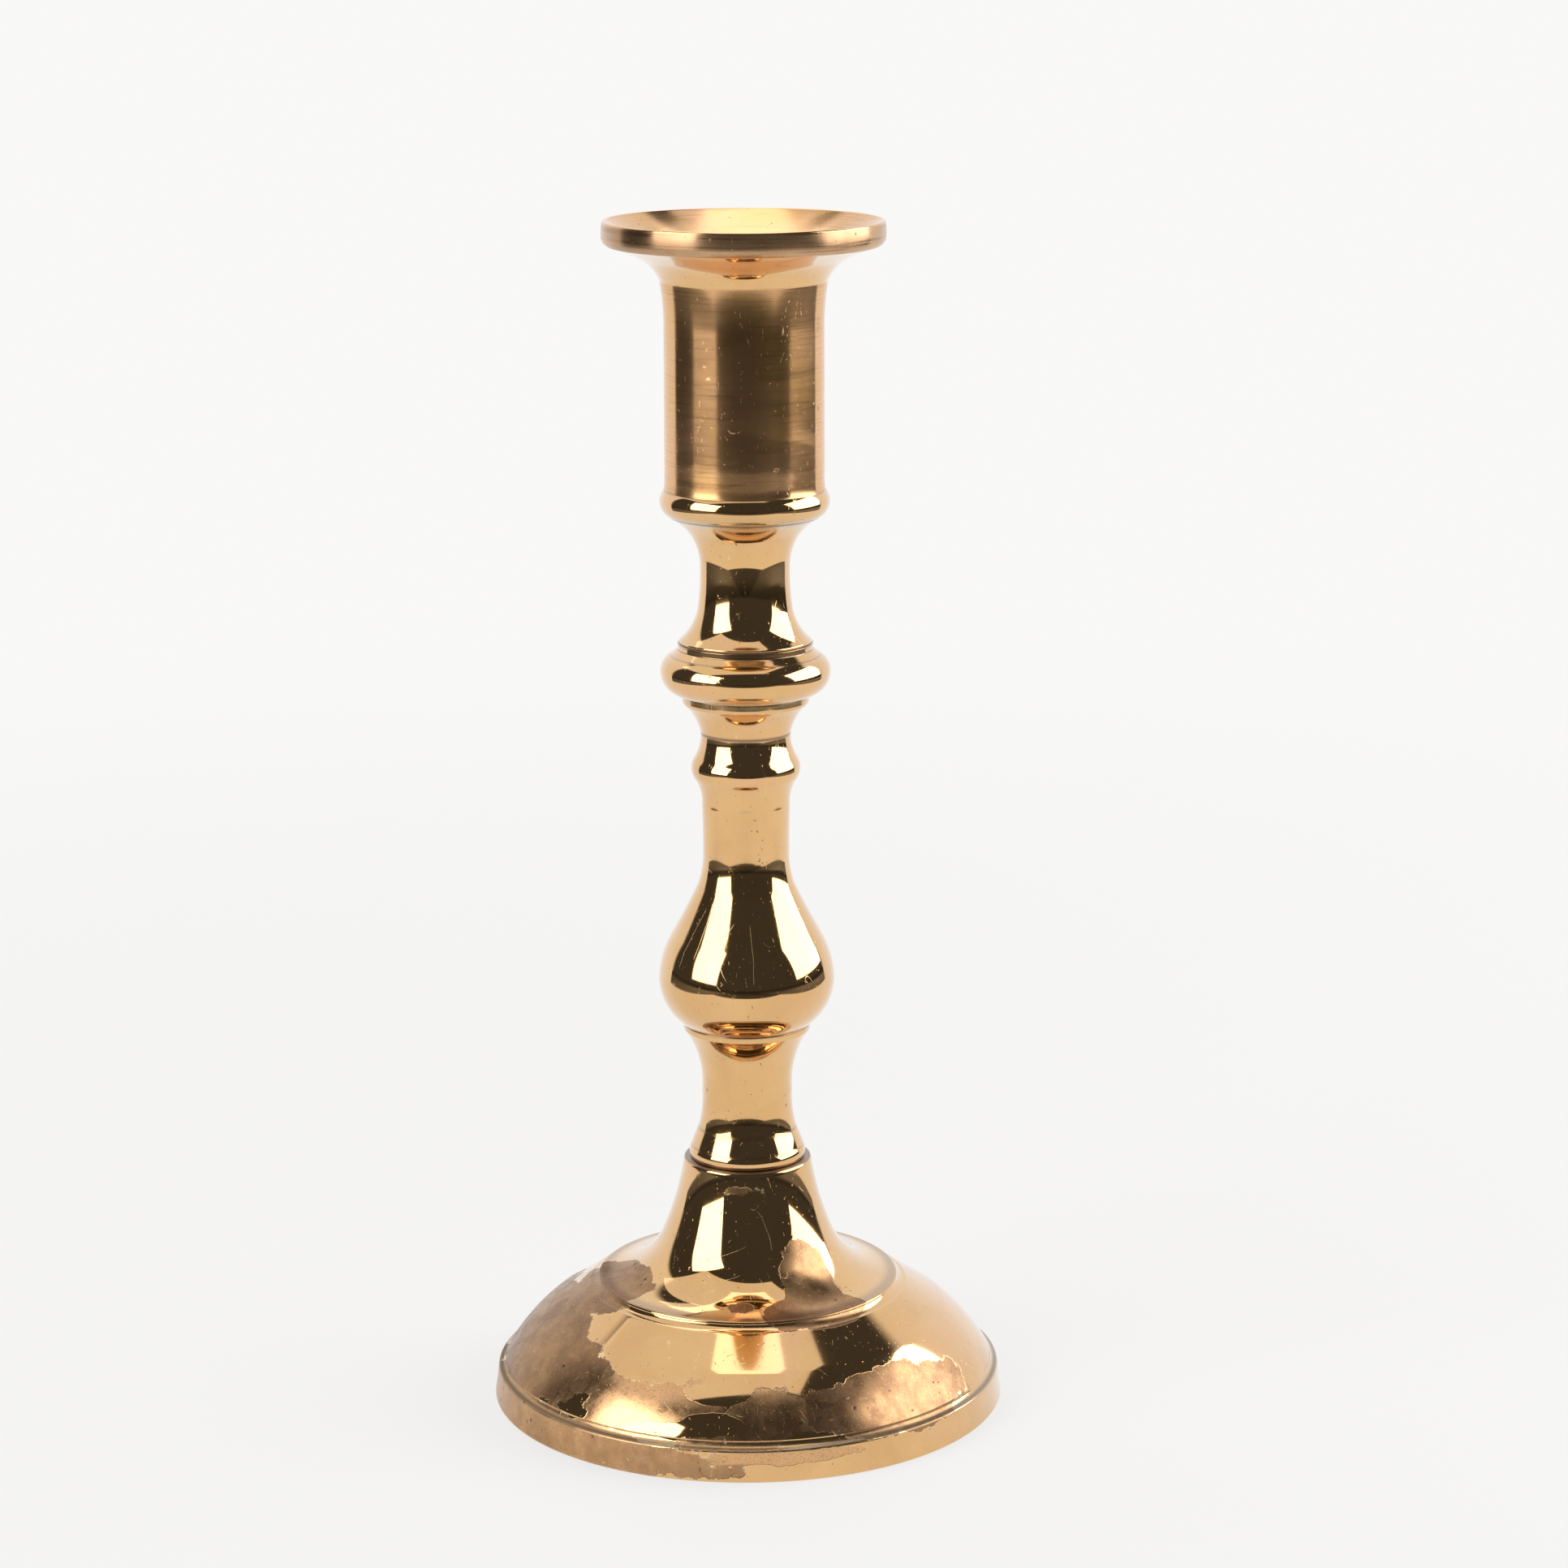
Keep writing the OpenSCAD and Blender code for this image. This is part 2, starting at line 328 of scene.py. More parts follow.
class Graph:
    """A thin wrapper that adds and joins nodes in one node tree."""

    def __init__(self, tree: bpy.types.NodeTree) -> None:
        """Keeps the tree that the nodes go into."""
        self.tree = tree

    def add(self, kind: str, **values: Value | str) -> bpy.types.Node:
        """Adds a node and sets its properties, or its inputs by name.

        Args:
            kind: the node's type name.
            **values: the node's properties, or what feed() takes for its inputs, with _ for a
                space in an input's name.

        Returns:
            The new node.
        """
        node = self.tree.nodes.new(kind)
        for key, value in values.items():
            if hasattr(node, key):
                setattr(node, key, value)
            else:
                self.feed(node.inputs[key.replace("_", " ")], value)
        return node

    def feed(self, socket: Socket, value: Value) -> None:
        """Links an output to a socket, or sets the socket to a plain value.

        Args:
            socket: the input socket.
            value: an output socket, a number or a tuple.
        """
        if isinstance(value, bpy.types.NodeSocket):
            self.tree.links.new(value, socket)
        else:
            socket.default_value = value

    def maths(self, operation: str, *inputs: Value, clamp: bool = False) -> Socket:
        """Adds a Math node.

        Args:
            operation: the node's operation.
            *inputs: its inputs in order.
            clamp: whether the result is held between 0 and 1.

        Returns:
            The node's output.
        """
        node = self.tree.nodes.new("ShaderNodeMath")
        node.operation = operation
        node.use_clamp = clamp
        for socket, value in zip(node.inputs, inputs):
            self.feed(socket, value)
        return node.outputs[0]

    def ramp(self, value: Value, low: float, high: float, to_low: float = 0.0,
             to_high: float = 1.0) -> Socket:
        """Maps low..high smoothly to to_low..to_high, held at both ends.

        Args:
            value: what is mapped.
            low: the value that gives to_low.
            high: the value that gives to_high.
            to_low: the result at low.
            to_high: the result at high.

        Returns:
            The result.
        """
        node = self.add("ShaderNodeMapRange", interpolation_type="SMOOTHSTEP")
        for name, setting in (("Value", value), ("From Min", low), ("From Max", high),
                              ("To Min", to_low), ("To Max", to_high)):
            self.feed(node.inputs[name], setting)
        return node.outputs["Result"]

    def mix(self, factor: Value, a: Value, b: Value) -> Socket:
        """Mixes two colours.

        Args:
            factor: 0 for the first colour, 1 for the second.
            a: the first colour.
            b: the second colour.

        Returns:
            The mixed colour.
        """
        node = self.add("ShaderNodeMix", data_type="RGBA")
        sockets = [s for s in node.inputs if s.enabled]
        for socket, value in zip(sockets, (factor, a, b)):
            self.feed(socket, value)
        return next(s for s in node.outputs if s.enabled)

    def blend(self, factor: Value, a: Value, b: Value) -> Socket:
        """Returns a + factor * (b - a) for plain numbers."""
        return self.maths("MULTIPLY_ADD", factor, self.maths("SUBTRACT", b, a), a)

    def noise(self, vector: Socket, scale: Value, detail: float = 3.0, rough: float = 0.55,
              distortion: float = 0.0) -> Socket:
        """Adds a noise texture.

        Args:
            vector: where it is looked up, in metres.
            scale: about how many waves it has in a metre.
            detail: how many finer layers it has.
            rough: how strong each finer layer is.
            distortion: how far it is bent by itself.

        Returns:
            Its value, from 0 to 1.
        """
        node = self.add("ShaderNodeTexNoise", Vector=vector, Scale=scale, Detail=detail,
                        Roughness=rough, Distortion=distortion)
        return node.outputs["Fac"]

    def axes(self, vector: Socket) -> tuple[Socket, Socket, Socket]:
        """The three parts of a vector."""
        node = self.add("ShaderNodeSeparateXYZ", Vector=vector)
        return node.outputs["X"], node.outputs["Y"], node.outputs["Z"]

    def squeezed(self, vector: Socket, across: Value) -> Socket:
        """The vector with its X and Y multiplied by across, so that a noise on it lies in rings.

        Args:
            vector: the vector.
            across: the factor.

        Returns:
            The squeezed vector.
        """
        x, y, z = self.axes(vector)
        node = self.add("ShaderNodeCombineXYZ", X=self.maths("MULTIPLY", x, across),
                        Y=self.maths("MULTIPLY", y, across), Z=z)
        return node.outputs["Vector"]


def new_group(
    name: str, inputs: dict[str, float | tuple[float, ...]], outputs: tuple[str, ...]
) -> tuple[bpy.types.NodeTree, Graph, dict[str, Socket], bpy.types.Node]:
    """Starts a shader node group with named sockets.

    Args:
        name: the group's name.
        inputs: name to default value. A triple makes a vector.
        outputs: the names of its outputs, which are all numbers.

    Returns:
        The group, its graph, its inputs by name, and its output node.
    """
    group = bpy.data.node_groups.new(name, "ShaderNodeTree")
    for key, default in inputs.items():
        kind = "NodeSocketVector" if isinstance(default, tuple) else "NodeSocketFloat"
        socket = group.interface.new_socket(key, in_out="INPUT", socket_type=kind)
        socket.default_value = default
    for key in outputs:
        group.interface.new_socket(key, in_out="OUTPUT", socket_type="NodeSocketFloat")
    graph = Graph(group)
    source = group.nodes.new("NodeGroupInput")
    sink = group.nodes.new("NodeGroupOutput")
    return group, graph, {s.name: s for s in source.outputs if s.name}, sink


# --------------------------------------------------------------------------- shared effects


def peel_group() -> bpy.types.NodeTree:
    """Builds the group that says where the lacquer has flaked away.

    A smooth field, high where a patch is worn, is broken up by noise of two sizes and cut at
    one level, which gives patches with ragged shores and small islands. The rim is the thin
    band round that level, where the film lifts.

    Returns:
        The group: Vector, Field, Ragged and Level in, Bare and Rim out.
    """
    group, g, inputs, sink = new_group(
        "lacquer_peel",
        {"Vector": (0, 0, 0), "Field": 0.0, "Ragged": 0.35, "Level": 0.5},
        ("Bare", "Rim"),
    )
    broad = g.noise(inputs["Vector"], 95.0, 2.0, 0.5, 0.6)
    fine = g.noise(inputs["Vector"], 420.0, 4.0, 0.62, 0.25)
    swing = g.maths("MULTIPLY_ADD", g.maths("SUBTRACT", broad, 0.5), 1.5,
                    g.maths("MULTIPLY", g.maths("SUBTRACT", fine, 0.5), 0.75))
    worn = g.maths("MULTIPLY_ADD", swing, inputs["Ragged"], inputs["Field"])
    above = g.maths("SUBTRACT", worn, inputs["Level"])
    g.feed(sink.inputs["Bare"], g.ramp(above, -0.004, 0.008))
    away = g.maths("ABSOLUTE", above)
    g.feed(sink.inputs["Rim"], g.ramp(away, 0.004, 0.022, 1.0, 0.0))
    return group


def hairline_group() -> bpy.types.NodeTree:
    """Builds the group for hairline scratches.

    A hairline is where a noise crosses one value. The noise is stretched along one direction,
    set by Turn, so the lines run that way, nearly straight. A second noise breaks them up
    into strokes.

    Returns:
        The group: Vector, Turn, Scale, Width and Amount in, Mask out.
    """
    group, g, inputs, sink = new_group(
        "hairlines",
        {"Vector": (0, 0, 0), "Turn": (0.5, 0.6, 0.3), "Scale": 150.0, "Width": 0.004,
         "Amount": 0.5},
        ("Mask",),
    )
    along = g.add("ShaderNodeMapping", Vector=inputs["Vector"], Rotation=inputs["Turn"],
                  Scale=(1.0, 1.0, 0.18))
    line = g.noise(along.outputs["Vector"], inputs["Scale"], 0.0, 0.5, 0.15)
    away = g.maths("ABSOLUTE", g.maths("SUBTRACT", line, 0.5))
    thin = g.maths("SUBTRACT", 1.0, g.maths("DIVIDE", away, inputs["Width"], clamp=True))
    where = g.noise(inputs["Vector"], g.maths("MULTIPLY", inputs["Scale"], 2.6), 2.0, 0.6)
    broken = g.ramp(g.maths("ADD", where, g.maths("MULTIPLY", inputs["Amount"], 0.3)), 0.66, 0.74)
    g.feed(sink.inputs["Mask"], g.maths("MULTIPLY", thin, broken))
    return group


def long_scratch_group() -> bpy.types.NodeTree:
    """Builds the group for one long scratch that runs up a turned piece.

    Up the scratch, t goes from 0 at Low to 1 at High, which are heights in metres. Its angle
    round the piece is Angle + Lean * t + Bow * 4t(1 - t) degrees, where 0 is the front, and a
    noise makes it waver. Its mask falls from 1 in the middle to 0 at Width, in metres, to each
    side, and it tapers to nothing at both ends.

    Returns:
        The group: Vector, Angle, Lean, Bow, Low, High and Width in, Mask out.
    """
    group, g, inputs, sink = new_group(
        "long_scratch",
        {"Vector": (0, 0, 0), "Angle": 0.0, "Lean": 0.0, "Bow": 0.0, "Low": 0.0, "High": 0.05,
         "Width": 0.00009},
        ("Mask",),
    )
    x, y, z = g.axes(inputs["Vector"])
    angle = g.maths("ARCTAN2", x, g.maths("MULTIPLY", y, -1.0))
    radius = g.maths("SQRT", g.maths("ADD", g.maths("MULTIPLY", x, x), g.maths("MULTIPLY", y, y)))
    t = g.maths("DIVIDE", g.maths("SUBTRACT", z, inputs["Low"]),
                g.maths("SUBTRACT", inputs["High"], inputs["Low"]))
    hump = g.maths("MULTIPLY", g.maths("MULTIPLY", t, g.maths("SUBTRACT", 1.0, t)), 4.0)
    path = g.maths("MULTIPLY_ADD", inputs["Lean"], t, inputs["Angle"])
    path = g.maths("MULTIPLY_ADD", inputs["Bow"], hump, path)
    waver = g.maths("SUBTRACT", g.noise(inputs["Vector"], 260.0, 2.0), 0.5)
    path = g.maths("MULTIPLY_ADD", waver, 2.2, path)
    off = g.maths("SUBTRACT", angle, g.maths("MULTIPLY", path, math.pi / 180))
    away = g.maths("ABSOLUTE", g.maths("MULTIPLY", off, radius))
    line = g.maths("SUBTRACT", 1.0, g.maths("DIVIDE", away, inputs["Width"]), clamp=True)
    g.feed(sink.inputs["Mask"], g.maths("MULTIPLY", line, g.ramp(hump, 0.0, 0.35), clamp=True))
    return group


def lathe_group() -> bpy.types.NodeTree:
    """Builds the group for the fine rings that turning and buffing leave round the axis.

    The height is noise in which the two directions across the axis are squeezed, so it
    hardly changes round a piece and changes quickly along it.

    Returns:
        The group: Vector, Fineness and Streak in, Height out.
    """
    group, g, inputs, sink = new_group(
        "lathe_rings",
        {"Vector": (0, 0, 0), "Fineness": 2600.0, "Streak": 0.02},
        ("Height",),
    )
    rings = g.noise(g.squeezed(inputs["Vector"], inputs["Streak"]), inputs["Fineness"], 3.0, 0.7)
    g.feed(sink.inputs["Height"], rings)
    return group


def speck_group() -> bpy.types.NodeTree:
    """Builds the group for dark pits and specks: small cells kept where a noise is high.

    Returns:
        The group: Vector, Scale, Size and Amount in, Mask out.
    """
    group, g, inputs, sink = new_group(
        "specks",
        {"Vector": (0, 0, 0), "Scale": 520.0, "Size": 0.2, "Amount": 0.5},
        ("Mask",),
    )
    cells = g.add("ShaderNodeTexVoronoi", Vector=inputs["Vector"], Scale=inputs["Scale"])
    spot = g.ramp(cells.outputs["Distance"], 0.0, inputs["Size"], 1.0, 0.0)
    where = g.noise(inputs["Vector"], g.maths("MULTIPLY", inputs["Scale"], 0.22), 3.0, 0.7)
    some = g.ramp(g.maths("ADD", where, g.maths("MULTIPLY", inputs["Amount"], 0.3)), 0.72, 0.8)
    g.feed(sink.inputs["Mask"], g.maths("MULTIPLY", spot, some))
    return group


@dataclass
class Effects:
    """The node groups that the finishes share, each built once."""

    peel: bpy.types.NodeTree = field(default_factory=peel_group)
    hairlines: bpy.types.NodeTree = field(default_factory=hairline_group)
    long_scratch: bpy.types.NodeTree = field(default_factory=long_scratch_group)
    lathe: bpy.types.NodeTree = field(default_factory=lathe_group)
    specks: bpy.types.NodeTree = field(default_factory=speck_group)


# --------------------------------------------------------------------------- finishes


class MaterialGraph(Graph):
    """The graph of one new material: a Principled shader, object coordinates and the effects."""

    def __init__(self, name: str, effects: Effects | None = None) -> None:
        """Makes the material.

        Args:
            name: the material's name.
            effects: the shared node groups, if the material uses any.
        """
        self.material = bpy.data.materials.new(name)
        self.material.use_nodes = True
        self.material.node_tree.nodes.clear()
        super().__init__(self.material.node_tree)
        self.effects = effects
        self.shader = self.add("ShaderNodeBsdfPrincipled")
        self.place = self.add("ShaderNodeTexCoord").outputs["Object"]
        self.add("ShaderNodeOutputMaterial", Surface=self.shader.outputs["BSDF"])

    def shade(self, name: str, value: Value) -> None:
        """Links or sets one input of the shader."""
        self.feed(self.shader.inputs[name], value)

    def bump(self, height: Socket) -> None:
        """Raises the surface by a height in millimetres."""
        self.shade("Normal", self.add("ShaderNodeBump", Distance=MM, Height=height).outputs["Normal"])

    def painted(self, name: str) -> Socket:
        """The number that paint() has stored on the mesh under a name."""
        return self.add("ShaderNodeAttribute", attribute_name=name).outputs["Fac"]

    def effect(self, tree: bpy.types.NodeTree, **values: Value) -> bpy.types.Node:
        """Places a shared effect at the object coordinates.

        Args:
            tree: the effect.
            **values: its other inputs by name.

        Returns:
            The group node.
        """
        node = self.tree.nodes.new("ShaderNodeGroup")
        node.node_tree = tree
        for name, value in {"Vector": self.place, **values}.items():
            self.feed(node.inputs[name], value)
        return node


@dataclass(frozen=True)
class LongScratch:
    """One long scratch: angles in degrees from the front, heights and half width in millimetres."""

    angle: float
    low: float
    high: float
    lean: float = 0.0
    bow: float = 0.0
    width: float = 0.09


@dataclass(frozen=True)
class BrassMarks:
    """The masks and noises that one brass material's colour, gloss and relief share.

    Each runs from 0 to 1: bare where the lacquer has gone, rim at a bare patch's shore, aged
    where a patch has been bare for long, mottle a noise, rings the height of the lathe's
    rings, scratch and speck in the small marks, seam in dried polish, crease_shade the
    painted shade in a groove, at a joint or under an edge, and wear on a proud edge.
    """

    bare: Socket
    rim: Socket
    aged: Socket
    mottle: Socket
    rings: Socket
    scratch: Socket
    speck: Socket
    seam: Socket
    crease_shade: Socket
    wear: Socket


@dataclass(frozen=True)
class PolishedBrass:
    """Turned and buffed brass under clear lacquer, tarnished where the lacquer has gone.

    The mesh carries five painted numbers: peel, the field of worn patches, fresh, how lately
    each was bared, grime, the closeness to a seam, crease_shade, how much painted shade lies
    in a groove, at a joint or under an edge, and wear, how proud an edge is. Heights are in
    millimetres, and smudges end at smudged_below.
    """

    name: str
    gold: Colour = (0.80, 0.475, 0.185, 1.0)
    deep_gold: Colour = (0.73, 0.415, 0.15, 1.0)
    rose: Colour = (0.84, 0.46, 0.26, 1.0)
    light_tarnish: Colour = (0.74, 0.43, 0.21, 1.0)
    tarnish: Colour = (0.42, 0.24, 0.115, 1.0)
    dark_tarnish: Colour = (0.26, 0.145, 0.08, 1.0)
    # Paler gold of lacquer lifting at a bare patch's shore, partly a painted highlight.
    flake_highlight: Colour = (0.86, 0.62, 0.34, 1.0)
    residue: Colour = (0.36, 0.33, 0.19, 1.0)
    scratch_gold: Colour = (0.97, 0.72, 0.42, 1.0)
    rubbed_gold: Colour = (0.9, 0.64, 0.34, 1.0)
    # Painted shade: near-black brown laid in grooves, at joints and under edges.
    painted_crease_shade: Colour = (0.11, 0.055, 0.03, 1.0)
    soot: Colour = (0.045, 0.028, 0.018, 1.0)
    gloss: float = 0.05
    bare_gloss: float = 0.21
    streaks: float = 0.0
    smudged_below: float = 0.0
    anisotropy: float = 0.0
    ring_height: float = 0.0002
    ring_fineness: float = 2600.0
    ring_dark: float = 0.0
    scratches: float = 0.4
    nicks: float = 0.12
    coat: float = 1.0
    coat_gloss: float = 0.035
    coat_ior: float = 1.58
    level: float = 0.5
    long_scratches: tuple[LongScratch, ...] = ()

    def scratched(self, g: MaterialGraph) -> Socket:
        """Adds up the hairlines and the long scratches.

        Args:
            g: the material's graph.

        Returns:
            A mask that is 1 in a scratch.
        """
        coarse = g.effect(g.effects.hairlines, Amount=self.scratches)
        fine = g.effect(g.effects.hairlines, Turn=(-0.9, -0.5, 1.1), Scale=330.0,
                             Width=0.007, Amount=self.scratches * 0.8)
        mask = g.maths("MULTIPLY", g.maths("MAXIMUM", coarse.outputs["Mask"], fine.outputs["Mask"]), 0.6)
        for one in self.long_scratches:
            line = g.effect(g.effects.long_scratch, Angle=one.angle, Lean=one.lean,
                                 Bow=one.bow, Low=one.low * MM, High=one.high * MM, Width=one.width * MM)
            mask = g.maths("MAXIMUM", mask, line.outputs["Mask"])
        return mask

    def pitted(self, g: MaterialGraph, bare: Socket) -> Socket:
        """Adds up the dark pits, which are more on bare metal, and the short dark nicks.

        Args:
            g: the material's graph.
            bare: the mask of bare metal.

        Returns:
            A mask that is 1 in a pit or a nick.
        """
        pits = g.effect(g.effects.specks, Scale=430.0, Size=0.26,
                             Amount=g.maths("MULTIPLY_ADD", bare, 0.3, 0.3))
        nicks = g.effect(g.effects.hairlines, Turn=(1.2, 0.2, 0.7), Scale=520.0,
                              Width=0.03, Amount=self.nicks)
        return g.maths("MAXIMUM", pits.outputs["Mask"], g.maths("MULTIPLY", nicks.outputs["Mask"], 0.8))

    def smudges(self, g: MaterialGraph) -> Socket:
        """Lays level, wavy bands where a hand has dulled the metal, below smudged_below.

        Args:
            g: the material's graph.

        Returns:
            A mask that is 1 in a smudge.
        """
        wave = g.noise(g.squeezed(g.place, 0.35), 120.0, 3.0, 0.5, 0.5)
        top = self.smudged_below * MM
        low = g.ramp(g.axes(g.place)[2], top - 12 * MM, top + 4 * MM, 1.0, 0.15)
        return g.maths("MULTIPLY", g.ramp(wave, 0.45, 0.56), low)

    def marks(self, g: MaterialGraph) -> BrassMarks:
        """Lays out the masks and noises that the rest of the material is made from.

        Args:
            g: the material's graph.

        Returns:
            The masks and noises.
        """
        peel = g.effect(g.effects.peel, Field=g.painted("peel"), Level=self.level)
        rings = g.effect(g.effects.lathe, Fineness=self.ring_fineness)
        mottle = g.noise(g.place, 260.0, 5.0, 0.65, 0.3)
        newness = g.maths("MULTIPLY_ADD", mottle, 0.3, g.painted("fresh"))
        crust = g.ramp(g.noise(g.place, 330.0, 4.0, 0.7), 0.3, 0.62, 0.3, 1.0)
        return BrassMarks(
            bare=peel.outputs["Bare"],
            rim=peel.outputs["Rim"],
            aged=g.ramp(newness, 0.42, 0.62, 1.0, 0.0),
            mottle=mottle,
            rings=rings.outputs["Height"],
            scratch=self.scratched(g),
            speck=self.pitted(g, peel.outputs["Bare"]),
            seam=g.maths("MULTIPLY", g.painted("grime"), crust),
            crease_shade=g.painted("crease_shade"),
            wear=g.painted("wear"),
        )

    def colour(self, g: MaterialGraph, on: BrassMarks) -> Socket:
        """Mixes golds under the lacquer, browns where it has gone, and the marks over both.

        Args:
            g: the material's graph.
            on: the shared masks and noises.

        Returns:
            The colour.
        """
        cloud = g.noise(g.place, 60.0, 4.0, 0.6, 0.4)
        tint = g.noise(g.place, 42.0, 2.0, 0.5, 0.8)
        grain = g.noise(g.place, 2400.0, 2.0, 0.6)
        gold = g.mix(g.ramp(cloud, 0.35, 0.7), self.gold, self.deep_gold)
        gold = g.mix(g.ramp(tint, 0.52, 0.75, 0.0, 0.45), gold, self.rose)
        blotch = g.maths("MULTIPLY_ADD", cloud, 0.6, g.maths("MULTIPLY", on.mottle, 0.4))
        old = g.mix(g.ramp(blotch, 0.38, 0.66), self.tarnish, self.dark_tarnish)
        fresh = g.mix(g.ramp(grain, 0.5, 0.75), self.light_tarnish, self.tarnish)
        brown = g.mix(on.aged, fresh, old)
        brown = g.mix(g.ramp(grain, 0.6, 0.72, 0.0, 0.5), brown, self.gold)
        # Painted highlight along a bare patch's shore, where the lacquer lifts: mixed towards a paler
        # gold.
        lifted_highlight = g.maths("MULTIPLY", on.rim, g.ramp(on.mottle, 0.42, 0.62, 0.0, 0.6))
        colour = g.mix(on.bare, gold, brown)
        for mask, strength, over in (
            (lifted_highlight, 1.0, self.flake_highlight),
            (on.seam, 0.7, self.residue),
            (on.scratch, 0.9, self.scratch_gold),
            (on.wear, 0.3, self.rubbed_gold),
            # Painted shade in grooves, at joints and under edges.
            (on.crease_shade, 0.9, self.painted_crease_shade),
            (on.speck, 1.0, self.soot),
        ):
            colour = g.mix(g.maths("MULTIPLY", mask, strength), colour, over)
        if self.ring_dark:
            colour = g.mix(g.ramp(on.rings, 0.34, 0.47, self.ring_dark, 0.0), colour, self.dark_tarnish)
        return colour

    def roughness(self, g: MaterialGraph, on: BrassMarks) -> Socket:
        """Starts from the gloss under the lacquer or of bare metal, and dulls it at each mark.

        Args:
            g: the material's graph.
            on: the shared masks and noises.

        Returns:
            The roughness.
        """
        smear = g.ramp(g.noise(g.place, 35.0, 3.0, 0.6, 0.5), 0.35, 0.75, 0.0, 0.04)
        rough = g.maths("ADD", self.gloss, smear)
        if self.streaks:
            rough = g.maths("MULTIPLY_ADD", g.maths("SUBTRACT", on.rings, 0.5), self.streaks, rough)
        if self.smudged_below:
            rough = g.maths("MULTIPLY_ADD", self.smudges(g), 0.10, rough)
        bare_rough = g.maths("ADD", self.bare_gloss, g.ramp(on.mottle, 0.3, 0.7, -0.06, 0.08))
        rough = g.blend(on.bare, rough, g.maths("MULTIPLY_ADD", on.aged, 0.07, bare_rough))
        rough = g.maths("MULTIPLY_ADD", on.scratch, 0.5, rough)
        rough = g.maths("MULTIPLY_ADD", g.maths("MAXIMUM", on.seam, on.crease_shade), 0.3, rough)
        return g.maths("MULTIPLY_ADD", on.speck, 0.3, rough, clamp=True)

    def relief(self, g: MaterialGraph, on: BrassMarks) -> Socket:
        """Adds up the sway of the buffed metal, the lathe's rings and the depth of each mark.

        Args:
            g: the material's graph.
            on: the shared masks and noises.

        Returns:
            The height in millimetres.
        """
        height = g.maths("MULTIPLY", on.rings, self.ring_height)
        for mask, rise in (
            (g.noise(g.place, 70.0, 2.0, 0.5), 0.009),
            (on.mottle, g.maths("MULTIPLY", on.bare, 0.0016)),
            (on.bare, -0.012),
            (g.maths("MULTIPLY", on.rim, on.mottle), 0.008),
            (on.scratch, -0.006),
            (on.speck, -0.03),
        ):
            height = g.maths("MULTIPLY_ADD", mask, rise, height)
        return height

    def build(self, effects: Effects) -> bpy.types.Material:
        """Builds the material.

        Args:
            effects: the shared node groups.

        Returns:
            The material.
        """
        g = MaterialGraph(self.name, effects)
        on = self.marks(g)
        g.shade("Base Color", self.colour(g, on))
        g.shade("Roughness", self.roughness(g, on))
        g.shade("Metallic", g.maths("MULTIPLY_ADD", on.seam, -0.45, 1.0, clamp=True))
        g.shade("Coat Weight", g.maths("MULTIPLY", g.maths("SUBTRACT", 1.0, on.bare), self.coat))
        g.shade("Coat Roughness", self.coat_gloss)
        g.shade("Coat IOR", self.coat_ior)
        if self.anisotropy:
            around = g.add("ShaderNodeTangent", direction_type="RADIAL", axis="Z")
            g.shade("Tangent", around.outputs["Tangent"])
            g.shade("Anisotropic", self.anisotropy)
            g.shade("Anisotropic Rotation", 0.25)
        g.bump(self.relief(g, on))
        return g.material


@dataclass(frozen=True)
class CastBrass:
    """Brass as it comes from the sand mould, browned, with a grainy skin."""

    name: str
    colour: Colour = (0.34, 0.22, 0.11, 1.0)
    brown: Colour = (0.12, 0.075, 0.04, 1.0)
    glint: Colour = (0.6, 0.42, 0.2, 1.0)
    soot: Colour = (0.03, 0.03, 0.02, 1.0)
    grain: float = 0.10
    rough: float = 0.5

    def build(self, effects: Effects) -> bpy.types.Material:
        """Builds the material.

        Args:
            effects: the shared node groups.

        Returns:
            The material.
        """
        g = MaterialGraph(self.name, effects)
        sand = g.noise(g.place, 900.0, 5.0, 0.7)
        cloud = g.noise(g.place, 150.0, 5.0, 0.68, 0.15)
        specks = g.effect(g.effects.specks, Scale=330.0, Size=0.3, Amount=0.5)
        colour = g.mix(g.ramp(cloud, 0.35, 0.68), self.colour, self.brown)
        colour = g.mix(g.ramp(sand, 0.58, 0.75, 0.0, 0.35), colour, self.glint)
        colour = g.mix(specks.outputs["Mask"], colour, self.soot)
        g.shade("Base Color", colour)
        g.shade("Roughness", g.ramp(cloud, 0.3, 0.7, self.rough - 0.08, self.rough + 0.15))
        g.shade("Metallic", g.ramp(cloud, 0.3, 0.75, 0.95, 0.55))
        height = g.maths("MULTIPLY_ADD", cloud, 0.12, g.maths("MULTIPLY", sand, self.grain))
        height = g.maths("MULTIPLY_ADD", specks.outputs["Mask"], -0.08, height)
        g.bump(height)
        return g.material


